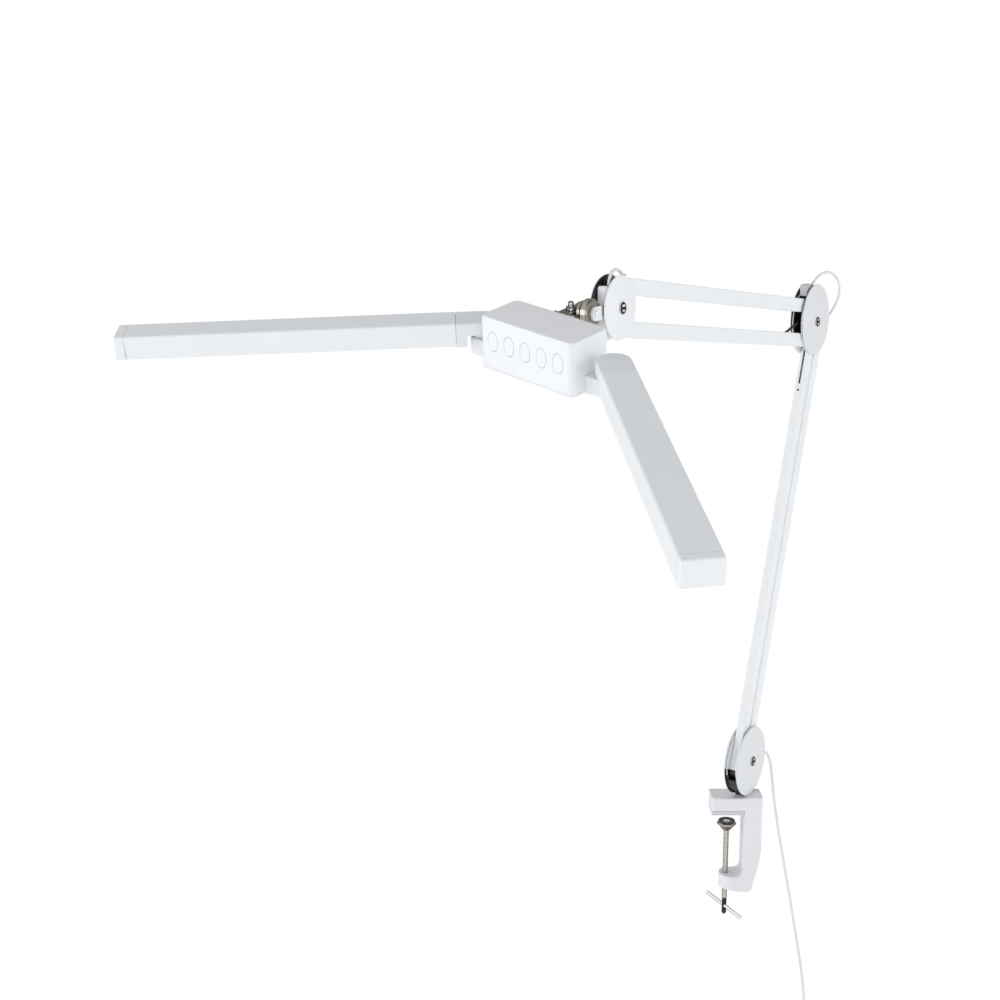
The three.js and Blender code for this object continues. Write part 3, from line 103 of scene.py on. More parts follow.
class LampFinish(bpy.types.PropertyGroup):
    """Colours and surface textures of the lamp."""

    paint: tint("Paint", "Colour of the powder coat on the arms and the clamp", (0.80, 0.825, 0.85))
    plastic: tint(
        "Plastic", "Colour of the moulded covers, the control box and the bars", (0.80, 0.82, 0.845)
    )
    black: tint("Black", "Colour of the hubs and the small black parts", (0.012, 0.012, 0.013))
    nickel: tint("Nickel", "Colour of the plated screws and wrist parts", (0.74, 0.68, 0.61))
    grain: distance("Grain", "Width of the texture of the moulded plastic", 0.35 * MM)


class LampCord(bpy.types.PropertyGroup):
    """The supply cord and its coil."""

    length: distance("Length", "Real length of the supply cord, coil included", 1.6)
    diameter: distance("Diameter", "Outside diameter of the supply cord", 2.9 * MM)
    lead_diameter: distance(
        "Lead diameter", "Outside diameter of the leads that bridge the joints", 2.6 * MM
    )
    coil_radius: distance("Coil radius", "Radius of the coil at the middle of its turns", 16.5 * MM)
    columns: IntProperty(
        name="Columns", description="Turns that lie side by side in the coil", default=4, min=1
    )
    layers: IntProperty(
        name="Layers", description="Turns that lie on each other in the coil", default=3, min=1
    )


class LampStage(bpy.types.PropertyGroup):
    """The camera and the studio light."""

    lens: FloatProperty(
        name="Lens", description="Focal length of the camera", subtype="DISTANCE_CAMERA", default=54.9
    )
    pitch: FloatProperty(
        name="Pitch",
        description="How far the camera looks down",
        subtype="ANGLE",
        unit="ROTATION",
        default=math.radians(11.397),
    )
    eye: FloatVectorProperty(
        name="Eye",
        description="Place of the camera",
        subtype="TRANSLATION",
        unit="LENGTH",
        size=3,
        default=(-0.24078, -1.5208, 0.64236),
    )
    floor: distance("Floor", "Height of the studio floor", -0.40)
    ambient: strength("Ambient", "Strength of the light from all round", 0.56)
    left: strength("Left light", "Power of the large light on the left", 43.0)
    right: strength("Right light", "Power of the large light on the right", 31.0)
    front: strength("Front light", "Power of the large light by the camera", 27.0)


# ---------------------------------------------------------------- frames of the parts


def joint_point(name):
    return Vector(JOINTS[name]["pos_m"])


def joint_axis(name):
    return Vector(JOINTS[name]["axis"]).normalized()


def frame_at(origin, x, z):
    """A part's own frame: its origin, its x axis and an axis that z follows as nearly as it can."""
    x = x.normalized()
    y = z.cross(x).normalized()
    axes = Matrix((x, y, x.cross(y))).transposed()
    return Matrix.Translation(origin) @ axes.to_4x4()


UP = Vector((0, 0, 1))
ARM_Y = joint_axis("lower_arm_tilt")
ARM_X = ARM_Y.cross(UP)
LOWER_PIVOT = joint_point("lower_arm_tilt")
LOWER_RUN = joint_point("elbow_level") - LOWER_PIVOT
ARM_MIDDLE = LOWER_PIVOT.dot(ARM_Y)
ELBOW_CENTRE = joint_point("elbow_level") - (ARM_X * 4 - UP * 12) * MM
HEAD_CENTRE = joint_point("head_level") - (ARM_X * 5 + UP * 18.1) * MM


# ---------------------------------------------------------------- mesh tools


def clean(mesh):
    """Joins doubled points, dissolves flat triangles into faces and points every face outwards."""
    shape = bmesh.new()
    shape.from_mesh(mesh)
    bmesh.ops.remove_doubles(shape, verts=shape.verts, dist=NOTHING)
    bmesh.ops.dissolve_degenerate(shape, dist=NOTHING, edges=shape.edges)
    bmesh.ops.dissolve_limit(
        shape,
        angle_limit=FLAT,
        verts=shape.verts,
        edges=shape.edges,
        delimit={"NORMAL"},
    )
    bmesh.ops.recalc_face_normals(shape, faces=shape.faces)
    shape.to_mesh(mesh)
    shape.free()
    return mesh


def made_plain(piece):
    """Turns a piece with modifiers, or a curve, into the plain mesh that it shows."""
    bpy.context.view_layer.update()
    graph = bpy.context.evaluated_depsgraph_get()
    shown = piece.evaluated_get(graph)
    mesh = bpy.data.meshes.new_from_object(shown, preserve_all_data_layers=True, depsgraph=graph)
    plain = bpy.data.objects.new(piece.name, mesh)
    name = piece.name
    bpy.data.objects.remove(piece)
    plain.name = name
    bpy.context.scene.collection.objects.link(plain)
    return plain


def link(name, data):
    piece = bpy.data.objects.new(name, data)
    bpy.context.scene.collection.objects.link(piece)
    return piece


def softened(piece, width, segments=3):
    """Rounds a piece's sharp edges and evens the shading of its flats."""
    bevel = piece.modifiers.new("soft edges", "BEVEL")
    bevel.width = width
    bevel.segments = segments
    bevel.limit_method = "ANGLE"
    bevel.angle_limit = SHARP
    bevel.use_clamp_overlap = True
    bevel.miter_outer = "MITER_ARC"
    piece.data.shade_smooth()
    normals = piece.modifiers.new("even flats", "WEIGHTED_NORMAL")
    normals.keep_sharp = True
    normals.weight = 50
    return made_plain(piece)


def copy_of(node):
    """A clean copy of a node's mesh, in the place that it has."""
    mesh = frame["nodes"][node].data.copy()
    mesh.materials.clear()
    return link(f"{node}_dressed", clean(mesh))


def finished(piece, material, body, slot, *nodes):
    """Gives a piece its material and its body, and hides the nodes that it stands for; its slot is not used."""
    piece.data.materials.clear()
    piece.data.materials.append(MATERIALS[material])
    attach(piece, body)
    if nodes:
        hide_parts(*nodes)
    return piece


BODY_OF = {
    node: body for body, nodes in frame["record"]["behaviour"]["bodies"].items() for node in nodes
}
SLOT_OF = {entry["node"]: entry["material_slot"] for entry in frame["record"]["subparts"]}


def in_place_of(node, piece, material):
    """Gives a piece its material and the body of the node that it stands for."""
    return finished(piece, material, BODY_OF[node], SLOT_OF[node], node)


def dress(node, material, edge, segments=3):
    """A node's own shape with a finish and soft edges, whose width is in millimetres."""
    return in_place_of(node, softened(copy_of(node), edge * MM, segments), material)


def split(piece, point, normal):
    """Cuts the faces of a piece where a plane crosses them."""
    shape = bmesh.new()
    shape.from_mesh(piece.data)
    everything = [*shape.verts, *shape.edges, *shape.faces]
    bmesh.ops.bisect_plane(shape, geom=everything, plane_co=point, plane_no=normal)
    shape.to_mesh(piece.data)
    shape.free()
    return piece


def from_middle(face):
    """How far a face is beyond the arm's mid plane."""
    return (face.center - LOWER_PIVOT).dot(ARM_Y)


def coat_black_and_shade(piece, chosen):
    """Gives the chosen faces of a piece the black coat: the hubs' own black, and painted shade inside the hubs."""
    black = MATERIALS["black_paint"]
    if black.name not in piece.data.materials:
        piece.data.materials.append(black)
    for face in piece.data.polygons:
        if chosen(face):
            face.material_index = len(piece.data.materials) - 1


def middle_of(node):
    """The mean place of a node's points, which is on the axis of a turned node."""
    points = [vertex.co for vertex in frame["nodes"][node].data.vertices]
    return sum(points, Vector()) / len(points)


def profile_of(node, origin, axis):
    """The outline that a turned node was made from, as (radius, height) pairs in their order."""
    mesh = frame["nodes"][node].data
    keys = []
    for vertex in mesh.vertices:
        height = (vertex.co - origin).dot(axis)
        radius = (vertex.co - origin - axis * height).length
        keys.append((round(radius, PROFILE_DIGITS), round(height, PROFILE_DIGITS)))
    beside = {key: set() for key in keys}
    for edge in mesh.edges:
        a, b = (keys[index] for index in edge.vertices)
        if a != b:
            beside[a].add(b)
            beside[b].add(a)
    ends = [key for key, others in beside.items() if len(others) == 1]
    walk = [min(ends, key=lambda key: key[1]) if ends else min(beside)]
    while True:
        onward = [key for key in sorted(beside[walk[-1]]) if key not in walk]
        if not onward:
            return walk, not ends
        walk.append(onward[0])


def lathe(name, profile, origin, axis, segments, closed=False):
    """A profile of (radius, height) pairs turned about an axis."""
    shape = bmesh.new()
    side = axis.orthogonal().normalized()
    across = axis.cross(side)
    rings = []
    for radius, height in profile:
        centre = origin + axis * height
        if radius < NOTHING:
            rings.append([shape.verts.new(centre)] * segments)
            continue
        turns = [2 * math.pi * index / segments for index in range(segments)]
        ring = [centre + radius * (math.cos(turn) * side + math.sin(turn) * across) for turn in turns]
        rings.append([shape.verts.new(point) for point in ring])
    pairs = list(zip(rings, rings[1:]))
    if closed:
        pairs.append((rings[-1], rings[0]))
    for low, high in pairs:
        for index in range(segments):
            after = (index + 1) % segments
            corners = dict.fromkeys((low[index], low[after], high[after], high[index]))
            if len(corners) > 2:
                shape.faces.new(corners)
    bmesh.ops.recalc_face_normals(shape, faces=shape.faces)
    mesh = bpy.data.meshes.new(name)
    shape.to_mesh(mesh)
    shape.free()
    return link(name, mesh)


def turn_again(node, axis, material, edge, segments=128):
    """A turned node made again with a smooth round and soft edges."""
    origin = middle_of(node)
    profile, closed = profile_of(node, origin, axis)
    piece = lathe(f"{node}_dressed", profile, origin, axis, segments, closed)
    return in_place_of(node, softened(piece, edge * MM), material)


def rod(radius, low, high):
    """The profile of a plain rod."""
    return [(0, low), (radius, low), (radius, high), (0, high)]


def eased(share):
    """A share held between 0 and 1, with a soft start and end."""
    share = min(max(share, 0), 1)
    return share * share * (3 - 2 * share)


def tube_curve(name, points, radius, cyclic=False, sides=6):
    """A round lead along points that are already close together."""
    data = bpy.data.curves.new(name, "CURVE")
    data.dimensions = "3D"
    data.bevel_depth = radius
    data.bevel_resolution = sides
    data.use_fill_caps = True
    spline = data.splines.new("POLY")
    spline.points.add(len(points) - 1)
    for slot, point in zip(spline.points, points):
        slot.co = (*point, 1)
    spline.use_cyclic_u = cyclic
    spline.use_smooth = True
    return link(name, data)


def smooth_path(knots, step):
    """Points about a step apart on the smooth curve through the knots."""
    knots = [Vector(knot) for knot in knots]
    padded = [2 * knots[0] - knots[1], *knots, 2 * knots[-1] - knots[-2]]
    points = []
    for before, start, end, after in zip(padded, padded[1:], padded[2:], padded[3:]):
        spans = [(b - a).length ** 0.5 for a, b in ((before, start), (start, end), (end, after))]
        count = max(2, round((end - start).length / step))
        for index in range(count):
            points.append(catmull(before, start, end, after, spans, index / count))
    points.append(knots[-1])
    return points


def catmull(before, start, end, after, spans, t):
    """A point between start and end on the centripetal curve through four knots."""
    t0, t1, t2, t3 = 0, spans[0], spans[0] + spans[1], sum(spans)
    u = t1 + (t2 - t1) * t
    a = before.lerp(start, (u - t0) / (t1 - t0))
    b = start.lerp(end, (u - t1) / (t2 - t1))
    c = end.lerp(after, (u - t2) / (t3 - t2))
    d = a.lerp(b, (u - t0) / (t2 - t0))
    e = b.lerp(c, (u - t1) / (t3 - t1))
    return d.lerp(e, (u - t1) / (t2 - t1))


# ---------------------------------------------------------------- geometry nodes


def new_tree(name, **inputs):
    """A geometry tree with named inputs, and its input node."""
    tree = bpy.data.node_groups.new(name, "GeometryNodeTree")
    for label, kind in inputs.items():
        socket = f"NodeSocket{kind}"
        tree.interface.new_socket(label.replace("_", " "), in_out="INPUT", socket_type=socket)
    tree.interface.new_socket("Geometry", in_out="OUTPUT", socket_type="NodeSocketGeometry")
    return tree, tree.nodes.new("NodeGroupInput").outputs


def tree_node(tree, kind, **inputs):
    """A node of a tree whose inputs are joined to sockets or set to values."""
    made = tree.nodes.new(kind)
    for label, value in inputs.items():
        socket = made.inputs[label.replace("_", " ")]
        if isinstance(value, bpy.types.NodeSocket):
            tree.links.new(value, socket)
        else:
            socket.default_value = value
    return made


def end_tree(tree, geometry, material):
    """Ends a tree in Realize Instances and Set Material."""
    real = tree_node(tree, "GeometryNodeRealizeInstances", Geometry=geometry)
    painted = tree_node(
        tree, "GeometryNodeSetMaterial", Geometry=real.outputs["Geometry"], Material=material
    )
    out = tree.nodes.new("NodeGroupOutput")
    tree.links.new(painted.outputs["Geometry"], out.inputs["Geometry"])
    return tree


def helix_tree():
    """A wire wound about +z: springs and screw threads."""
    floats = dict.fromkeys(("Radius", "Wire", "Length", "Turns"), "Float")
    tree, size = new_tree("helix", **floats, Sides="Int", Material="Material")
    spiral = tree_node(
        tree,
        "GeometryNodeCurveSpiral",
        Resolution=28,
        Rotations=size["Turns"],
        Start_Radius=size["Radius"],
        End_Radius=size["Radius"],
        Height=size["Length"],
    )
    section = tree_node(
        tree, "GeometryNodeCurvePrimitiveCircle", Resolution=size["Sides"], Radius=size["Wire"]
    )
    wire = tree_node(
        tree,
        "GeometryNodeCurveToMesh",
        Curve=spiral.outputs["Curve"],
        Profile_Curve=section.outputs["Curve"],
        Fill_Caps=True,
    )
    return end_tree(tree, wire.outputs["Mesh"], size["Material"])


def row_tree():
    """Blocks of one size in a straight row along +x."""
    vectors = dict.fromkeys(("Start", "Step", "Size"), "Vector")
    tree, size = new_tree("row", Count="Int", **vectors, Material="Material")
    line = tree_node(
        tree,
        "GeometryNodeMeshLine",
        Count=size["Count"],
        Start_Location=size["Start"],
        Offset=size["Step"],
    )
    cube = tree_node(tree, "GeometryNodeMeshCube", Size=size["Size"])
    placed = tree_node(
        tree,
        "GeometryNodeInstanceOnPoints",
        Points=line.outputs["Mesh"],
        Instance=cube.outputs["Mesh"],
    )
    return end_tree(tree, placed.outputs["Instances"], size["Material"])


def grown(name, tree, place, body, slot, material, **values):
    """The plain mesh that a tree makes with the values given, in its place on a body."""
    piece = link(name, bpy.data.meshes.new(name))
    modifier = piece.modifiers.new("grown", "NODES")
    modifier.node_group = tree
    values["Material"] = MATERIALS[material]
    for item in tree.interface.items_tree:
        if item.in_out == "INPUT":
            modifier[item.identifier] = values[item.name]
    piece = made_plain(piece)
    piece.data.transform(place)
    piece.data.shade_smooth()
    return finished(piece, material, body, slot)


# ---------------------------------------------------------------- materials


def new_material(name, **inputs):
    material = bpy.data.materials.new(name)
    material.use_nodes = True
    shader = material.node_tree.nodes["Principled BSDF"]
    for label, value in inputs.items():
        shader.inputs[label.replace("_", " ")].default_value = value
    return material, material.node_tree, shader


def texture(tree, kind, **inputs):
    """A texture on the piece's own coordinates, with a scale in cycles to the metre."""
    where = tree.nodes.new("ShaderNodeTexCoord")
    return tree_node(tree, kind, Vector=where.outputs["Object"], **inputs)


def noise(tree, scale, detail):
    return texture(tree, "ShaderNodeTexNoise", Scale=scale, Detail=detail).outputs["Fac"]


def ramp(tree, source, low, high, value_low, value_high):
    """Maps a 0 to 1 signal between low and high onto two values."""
    ends = {"From_Min": low, "From_Max": high, "To_Min": value_low, "To_Max": value_high}
    return tree_node(tree, "ShaderNodeMapRange", Value=source, **ends).outputs["Result"]


def add_bump(tree, shader, height, depth):
    bump = tree_node(tree, "ShaderNodeBump", Strength=1.0, Distance=depth, Height=height)
    tree.links.new(bump.outputs["Normal"], shader.inputs["Normal"])


def shade_colour(tree, shader, source, colour, darker):
    """Lets the colour drift between itself and a slightly darker tone."""
    mix = tree.nodes.new("ShaderNodeMix")
    mix.data_type = "RGBA"
    mix.inputs["A"].default_value = (*[channel * darker for channel in colour], 1)
    mix.inputs["B"].default_value = (*colour, 1)
    tree.links.new(source, mix.inputs["Factor"])
    tree.links.new(mix.outputs["Result"], shader.inputs["Base Color"])


def drift(tree, shader, scale, colour, darker, detail=2, low=0.3, high=0.7):
    """Broad, faint unevenness of the tone."""
    tone = ramp(tree, noise(tree, scale, detail), low, high, 0, 1)
    shade_colour(tree, shader, tone, colour, darker)


def sheen(tree, shader, scale, smooth, rough, detail=2):
    """Roughness that wanders between two values."""
    wander = ramp(tree, noise(tree, scale, detail), 0.3, 0.7, smooth, rough)
    tree.links.new(wander, shader.inputs["Roughness"])


def coated(name, colour, peel_scale, peel_depth, roughness):
    """Powder coat: a fine orange peel, a little unevenness in gloss and in tone."""
    material, tree, shader = new_material(name)
    drift(tree, shader, 14, colour, 0.975, detail=3, low=0.35, high=0.65)
    sheen(tree, shader, 55, roughness - 0.04, roughness + 0.05, detail=3)
    add_bump(tree, shader, noise(tree, peel_scale, 2), peel_depth)
    return material


def moulded(name, colour, grain, depth, roughness):
    """Moulded plastic: a spark eroded grain and a soft sheen."""
    material, tree, shader = new_material(name)
    drift(tree, shader, 9, colour, 0.98)
    pits = texture(tree, "ShaderNodeTexVoronoi", Scale=1 / grain)
    sheen(tree, shader, 120, roughness - 0.03, roughness + 0.06)
    add_bump(tree, shader, pits.outputs["Distance"], depth)
    return material


def plated(name, colour, roughness, rim=0.8, turn=(0.15, 0.65), metal=1.0):
    """Plated metal with a painted reflection that darkens it where it turns away, with faint wear."""
    material, tree, shader = new_material(name, Metallic=metal)
    # painted reflection: where the surface turns away the colour falls towards rim times itself
    turned = tree_node(tree, "ShaderNodeLayerWeight", Blend=0.5)
    shade_colour(tree, shader, ramp(tree, turned.outputs["Facing"], *turn, 1, 0), colour, rim)
    sheen(tree, shader, 420, roughness - 0.03, roughness + 0.05, detail=4)
    add_bump(tree, shader, noise(tree, 1200, 2), 0.004 * MM)
    return material


def milky(name, colour):
    """Frosted light panel over the rows of small lamps."""
    material, tree, shader = new_material(name, Roughness=0.55)
    shader.inputs["Subsurface Weight"].default_value = 0.35
    shader.inputs["Subsurface Radius"].default_value = (1, 1, 1)
    shader.inputs["Subsurface Scale"].default_value = 2 * MM
    drift(tree, shader, 60, colour, 0.985)
    add_bump(tree, shader, noise(tree, 3000, 2), 0.02 * MM)
    return material


def rubbery(name, colour):
    """Flexible sheath: a dull sheen with small ripples."""
    material, tree, shader = new_material(name)
    drift(tree, shader, 90, colour, 0.97)
    sheen(tree, shader, 300, 0.42, 0.55)
    add_bump(tree, shader, noise(tree, 900, 2), 0.02 * MM)
    return material


def circuit(name):
    """Green board with a faint pattern of tracks."""
    material, tree, shader = new_material(name, Roughness=0.4)
    tracks = texture(tree, "ShaderNodeTexVoronoi", Scale=320)
    tracks.distance = "MANHATTAN"
    lines = ramp(tree, tracks.outputs["Distance"], 0.2, 0.3, 0, 1)
    shade_colour(tree, shader, lines, (0.03, 0.16, 0.06), 0.6)
    return material


MATERIALS = {}
# painted shade: the covers of the base and the elbow are the white cover plastic made darker
SHADED_COVER_TONE = 0.87  # of the moulded white


def make_materials(finish):
    """One material for each finish of the lamp."""
    paint, plastic = tuple(finish.paint), tuple(finish.plastic)
    black, nickel = tuple(finish.black), tuple(finish.nickel)
    shaded = tuple(SHADED_COVER_TONE * share for share in plastic)
    coat = (700, 0.03 * MM, 0.36)
    textured = (finish.grain, 0.012 * MM, 0.42)
    smooth = (finish.grain, 0.006 * MM, 0.34)
    MATERIALS.update(
        paint=coated("white powder coat", paint, *coat),
        # painted shade: the clamp's coat is the white powder coat made darker
        clamp=coated("white powder coat with painted shade", (0.74, 0.75, 0.785), *coat),
        cap=moulded("cool white plastic", (0.74, 0.77, 0.81), *textured),
        clip=moulded("grey plastic", (0.5, 0.51, 0.53), *textured),
        plastic=moulded("white moulded plastic", plastic, *textured),
        cover=moulded("white cover plastic", plastic, *smooth),
        # a darker copy of the cover plastic, as painted shade on the covers of the arms
        large_cover=moulded("white cover plastic with painted shade", shaded, *smooth),
        # black powder coat, which inside the hubs also serves as painted shade
        black_paint=coated("black powder coat and painted shade", black, 900, 0.03 * MM, 0.42),
        black_plastic=moulded("black moulded plastic", black, finish.grain, 0.01 * MM, 0.5),
        # plated finishes whose rim is below 1 carry a painted reflection that darkens them where they turn away
        nickel=plated("bright nickel", nickel, 0.14, 0.14),
        chrome=plated("bright chrome", (0.95, 0.95, 0.94), 0.1, 0.05, (0.08, 0.5)),
        # a white non-metal rod whose bright middle and dark edges are a painted reflection of chrome
        rod=plated("rod with painted reflection", (0.9, 0.9, 0.9), 0.1, 0.02, (0.45, 0.6), 0),
        # dark steel; on the hub screws it is painted shadow round their heads
        dark=plated("dark steel and painted shadow", (0.05, 0.047, 0.045), 0.2, 0.3),
        worn=plated("worn nickel", nickel, 0.22, 1),
        lamp=milky("small lamp", (0.9, 0.88, 0.7)),
        steel=plated("bright steel", (0.55, 0.56, 0.57), 0.34),
        aluminium=plated("bare aluminium", (0.75, 0.76, 0.77), 0.4),
        diffuser=milky("frosted diffuser", (0.86, 0.87, 0.875)),
        cord=rubbery("white cord sheath", (0.72, 0.73, 0.745)),
        board=circuit("green circuit board"),
    )


# ---------------------------------------------------------------- supply cord and leads

# The cord's route from the gland to its coil, in millimetres.
CORD_ROUTE = [
    (42.137, 38.876, 49), (45.6, 43.3, 48.4), (49, 48, 45.3), (52, 50.6, 39.5), (54, 51.6, 32),
    (55.5, 52, 22), (57.2, 52, 8), (59, 52, -6), (61.5, 52, -22), (64.3, 52, -39), (67.6, 52, -57),
    (71, 52, -74), (74.5, 52, -92), (78, 52, -110), (81.6, 52, -128), (86, 52, -152),
    (90.5, 52, -176), (94.8, 52, -199), (98.3, 52, -221), (100.8, 52, -240), (102.2, 52, -256),
    (102.9, 51.2, -268), (104.6, 49, -277),
]
COIL_CENTRE = Vector((86, 52, -284)) * MM
COIL_STEPS = 30
CROSSOVER = 0.16  # of a turn, in which the cord crosses to the next
CORD_STEP = 3 * MM
TAIL_STEP = 2 * MM
TAIL_DROP = Vector((0.6, 0, -4)) * MM  # from the end of the coil
TAIL_SWING = Vector((1.2, 1, -3)) * MM  # from halfway between the coil's end and the plug
PLUG_ABOVE = 2  # millimetres of cord straight above the plug
PLUG_DEPTH = 1  # millimetres of cord inside it
LEAD_STEP = 2  # millimetres
TIE_SPACE = 0.5 * MM  # between the turns and the tie
TIE_R = 0.75 * MM
TIE_STRETCH = 2.2  # its width, of its thickness
TIE_CORNERS = 24
TIE_SQUARE = 0.55  # 1 is round, and less is squarer

# The lead that loops from the clip over the elbow and into its hub, in the elbow's frame.
ELBOW_ROUTE = [
    (0.05, 0, 37.6), (6, -1, 41.8), (15, -2.5, 47), (25, -4, 50), (36, -6, 50.3), (47, -8, 47),
    (55, -9.5, 41), (59, -10, 33), (58, -9.5, 23), (53, -7, 12), (48, -4, 4.5), (42, -1.5, 1),
    (36, 0, 0), (28, 0, 0),
]

# The lead that rises from the yoke and comes down on the top tube, in the head hub's frame.
HEAD_ROUTE = [
    (-13, -3, 19.1), (-12.4, -3, 22.6), (-9.6, -2.7, 27.2), (-5, -2.3, 30.3), (0.5, -2, 31.2),
    (6, -2, 30.2), (10.5, -1.7, 28), (14.5, -1.2, 26.5), (19, -0.8, 25.9),
]


def coil_turns(cord):
    """Places of the turns as (radius, offset along the coil's axis), in the order they are wound."""
    d = cord.diameter
    turns = []
    for column in range(cord.columns):
        offset = (column - (cord.columns - 1) / 2) * d
        layers = [(cord.layers - 1) / 2 - layer for layer in range(cord.layers)]
        if column % 2:
            layers.reverse()
        turns += [(cord.coil_radius + layer * d, offset) for layer in layers]
    return turns


def coil_points(cord):
    """The wound length: each turn holds its place and crosses to the next in its last part."""
    turns = coil_turns(cord)
    points = []
    for index, (radius, offset) in enumerate(turns):
        after = turns[min(index + 1, len(turns) - 1)]
        for step in range(COIL_STEPS):
            part = step / COIL_STEPS
            cross = eased((part - 1 + CROSSOVER) / CROSSOVER)
            r = radius + (after[0] - radius) * cross
            y = offset + (after[1] - offset) * cross
            angle = -2 * math.pi * part
            points.append(COIL_CENTRE + Vector((r * math.cos(angle), y, r * math.sin(angle))))
    return points


class OBJECT_OT_lamp_cord(bpy.types.Operator):
    """Supply cord in its tied coil, its plug and the two leads that bridge the joints"""

    bl_idname = "object.lamp_cord"
    bl_label = "Cord and Leads"

    def execute(self, context):
        cord = context.scene.lamp_cord
        coil = coil_points(cord)
        plug_low, plug_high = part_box("cord_plug")
        plug_top = (plug_low + plug_high) / 2
        plug_top.z = plug_high.z
        route = [Vector(point) * MM for point in CORD_ROUTE]
        last = coil[-1]
        out = [
            last + TAIL_DROP,
            (last + plug_top) / 2 + TAIL_SWING,
            plug_top + UP * PLUG_ABOVE * MM,
            plug_top - UP * PLUG_DEPTH * MM,
        ]
        start = smooth_path([*route, coil[0]], CORD_STEP)
        end = smooth_path([last, *out], TAIL_STEP)
        points = [*start[:-1], *coil, *end[1:]]
        flex = tube_curve("supply_cord", points, cord.diameter / 2)
        finished(flex, "cord", "base", "cord_white", "power_cord", "cord_coil")
        plug = dress("cord_plug", "cord", 0.5)
        tie = self.tie(cord)
        self.leads(cord)
        return {"FINISHED"}

    def tie(self, cord):
        """A flat band round the turns at the top of the coil."""
        d = cord.diameter
        half_width = cord.columns * d / 2 + TIE_SPACE
        half_depth = cord.layers * d / 2 + TIE_SPACE
        centre = COIL_CENTRE + Vector((0, 0, cord.coil_radius))
        ring = []
        for index in range(TIE_CORNERS):
            angle = 2 * math.pi * index / TIE_CORNERS
            c, s = math.cos(angle), math.sin(angle)
            y = math.copysign(abs(c) ** TIE_SQUARE, c) * half_width
            z = math.copysign(abs(s) ** TIE_SQUARE, s) * half_depth
            ring.append(centre + Vector((0, y, z)))
        band = made_plain(tube_curve("cord_tie", ring, TIE_R, cyclic=True, sides=3))
        wider = Matrix.Translation(centre) @ Matrix.Diagonal((TIE_STRETCH, 1, 1, 1))
        band.data.transform(wider @ Matrix.Translation(-centre))
        return finished(band, "black_plastic", "base", "black_plastic")

    def leads(self, cord):
        """The lead over the elbow, and the one over the head, which is baked in place and rides no body."""
        radius = cord.lead_diameter / 2
        over = tube_curve("elbow_lead_dressed", self.lead(ELBOW_ROUTE, ELBOW_CENTRE), radius)
        finished(over, "cord", "elbow", "cord_white", "elbow_lead")
        points = self.lead(HEAD_ROUTE, HEAD_CENTRE)
        bridge = made_plain(tube_curve("head_lead_dressed", points, radius))
        bridge.data.materials.append(MATERIALS["cord"])
        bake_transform(bridge)
        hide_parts("head_lead")

    def lead(self, route, centre):
        """A lead's route, given in millimetres from a hub's centre, as points of the lamp."""
        place = frame_at(centre, ARM_X, UP)
        return [place @ (point * MM) for point in smooth_path(route, LEAD_STEP)]


# ---------------------------------------------------------------- the pieces

THREAD_R = 2.9 * MM
THREAD_DEPTH = 0.45 * MM
THREAD_PITCH = 1.5 * MM
SLEEVE_LENGTH = 18.5 * MM
SLEEVE_R = 2.5 * MM
SLEEVE_FOOT = (0.6, 0.8)  # radius and height of its chamfer, of its own radius
CORE_TIP = 0.7  # of the core's radius
TOMMY_R = 1.8 * MM
TOMMY_EXTRA = 3.5 * MM  # at each end, in place of the knob
TOMMY_BORE = 1.9 * MM
BACK_DEPTH = 18 * MM  # of the frame's back, from its outer face inwards
BACK_FULL = 3.5 * MM  # what the back gains at the most
BACK_TOP = 47 * MM  # above the bottom of the frame
BACK_BOTTOM = 7 * MM
PAD_FLUSH = 0.5 * MM  # what the pad gains on each side
DISH_BOSS_R = 4.6 * MM
DISH_BOSS_TOP = 0.6  # of the boss's radius
DISH_RIM = 0.86  # of the pad's radius, the inner edge of its rim
DISH_FLOOR = 0.8  # of the pad's radius
DISH_DEPTH = 0.9 * MM
DISH_EDGE = 0.2 * MM

SPRING_R = 2.1 * MM
SPRING_WIRE = 1.2 * MM
SPRING_PITCH = 1.25  # of the wire's thickness
SPRING_LENGTH = 95 * MM
LOWER_SPRING = 306.5 * MM  # where it starts, from the lower pivot
UPPER_SPRING = 70 * MM  # where it starts, from the pivot of the bottom tube
HOOK_R = 1.5 * MM
HOOK_BEND = Vector((62, 0, 0))  # in millimetres from the pivot of the bottom tube
HOOK_END = Vector((12.5, 0, 17.5))
HOOK_STRAIGHT = 8
HOOK_SOFT = (3, 4)  # how far before and after the bend it is rounded
HOOK_STEP = 0.5

PLATE_INNER = 4.25 * MM  # the inner face of a hub's side plates, from the arm's mid plane
BASE_SHADE_START = LOWER_RUN * 0.001  # a thousandth of the way up from the lower pivot
HEAD_SHADE_DROP = UP * 5 * MM  # below the head hub's centre
# painted shade: beyond these splits the insides of the hubs are painted black where shade falls
HUB_SHADE_SPLIT = {  # where each hub's inside turns black: a point and the side that is black
    "base": (LOWER_PIVOT + BASE_SHADE_START, -LOWER_RUN.normalized()),
    "elbow": (joint_point("upper_bottom_tilt"), UP),
    "head": (HEAD_CENTRE - HEAD_SHADE_DROP, UP),
}
ELBOW_RISE = ARM_X * 1.5 * MM + UP * 2.4 * MM  # the elbow's covers sit a little off its screw
ELBOW_GROWTH = 1.02
# painted shadow: width of the dark ring round a screw's head, and how far it reaches down
SCREW_SHADOW_RING = 1.3 * MM
SCREW_SHADOW_DEPTH = 0.7 * MM
SCREW_TOP = 0.05 * MM

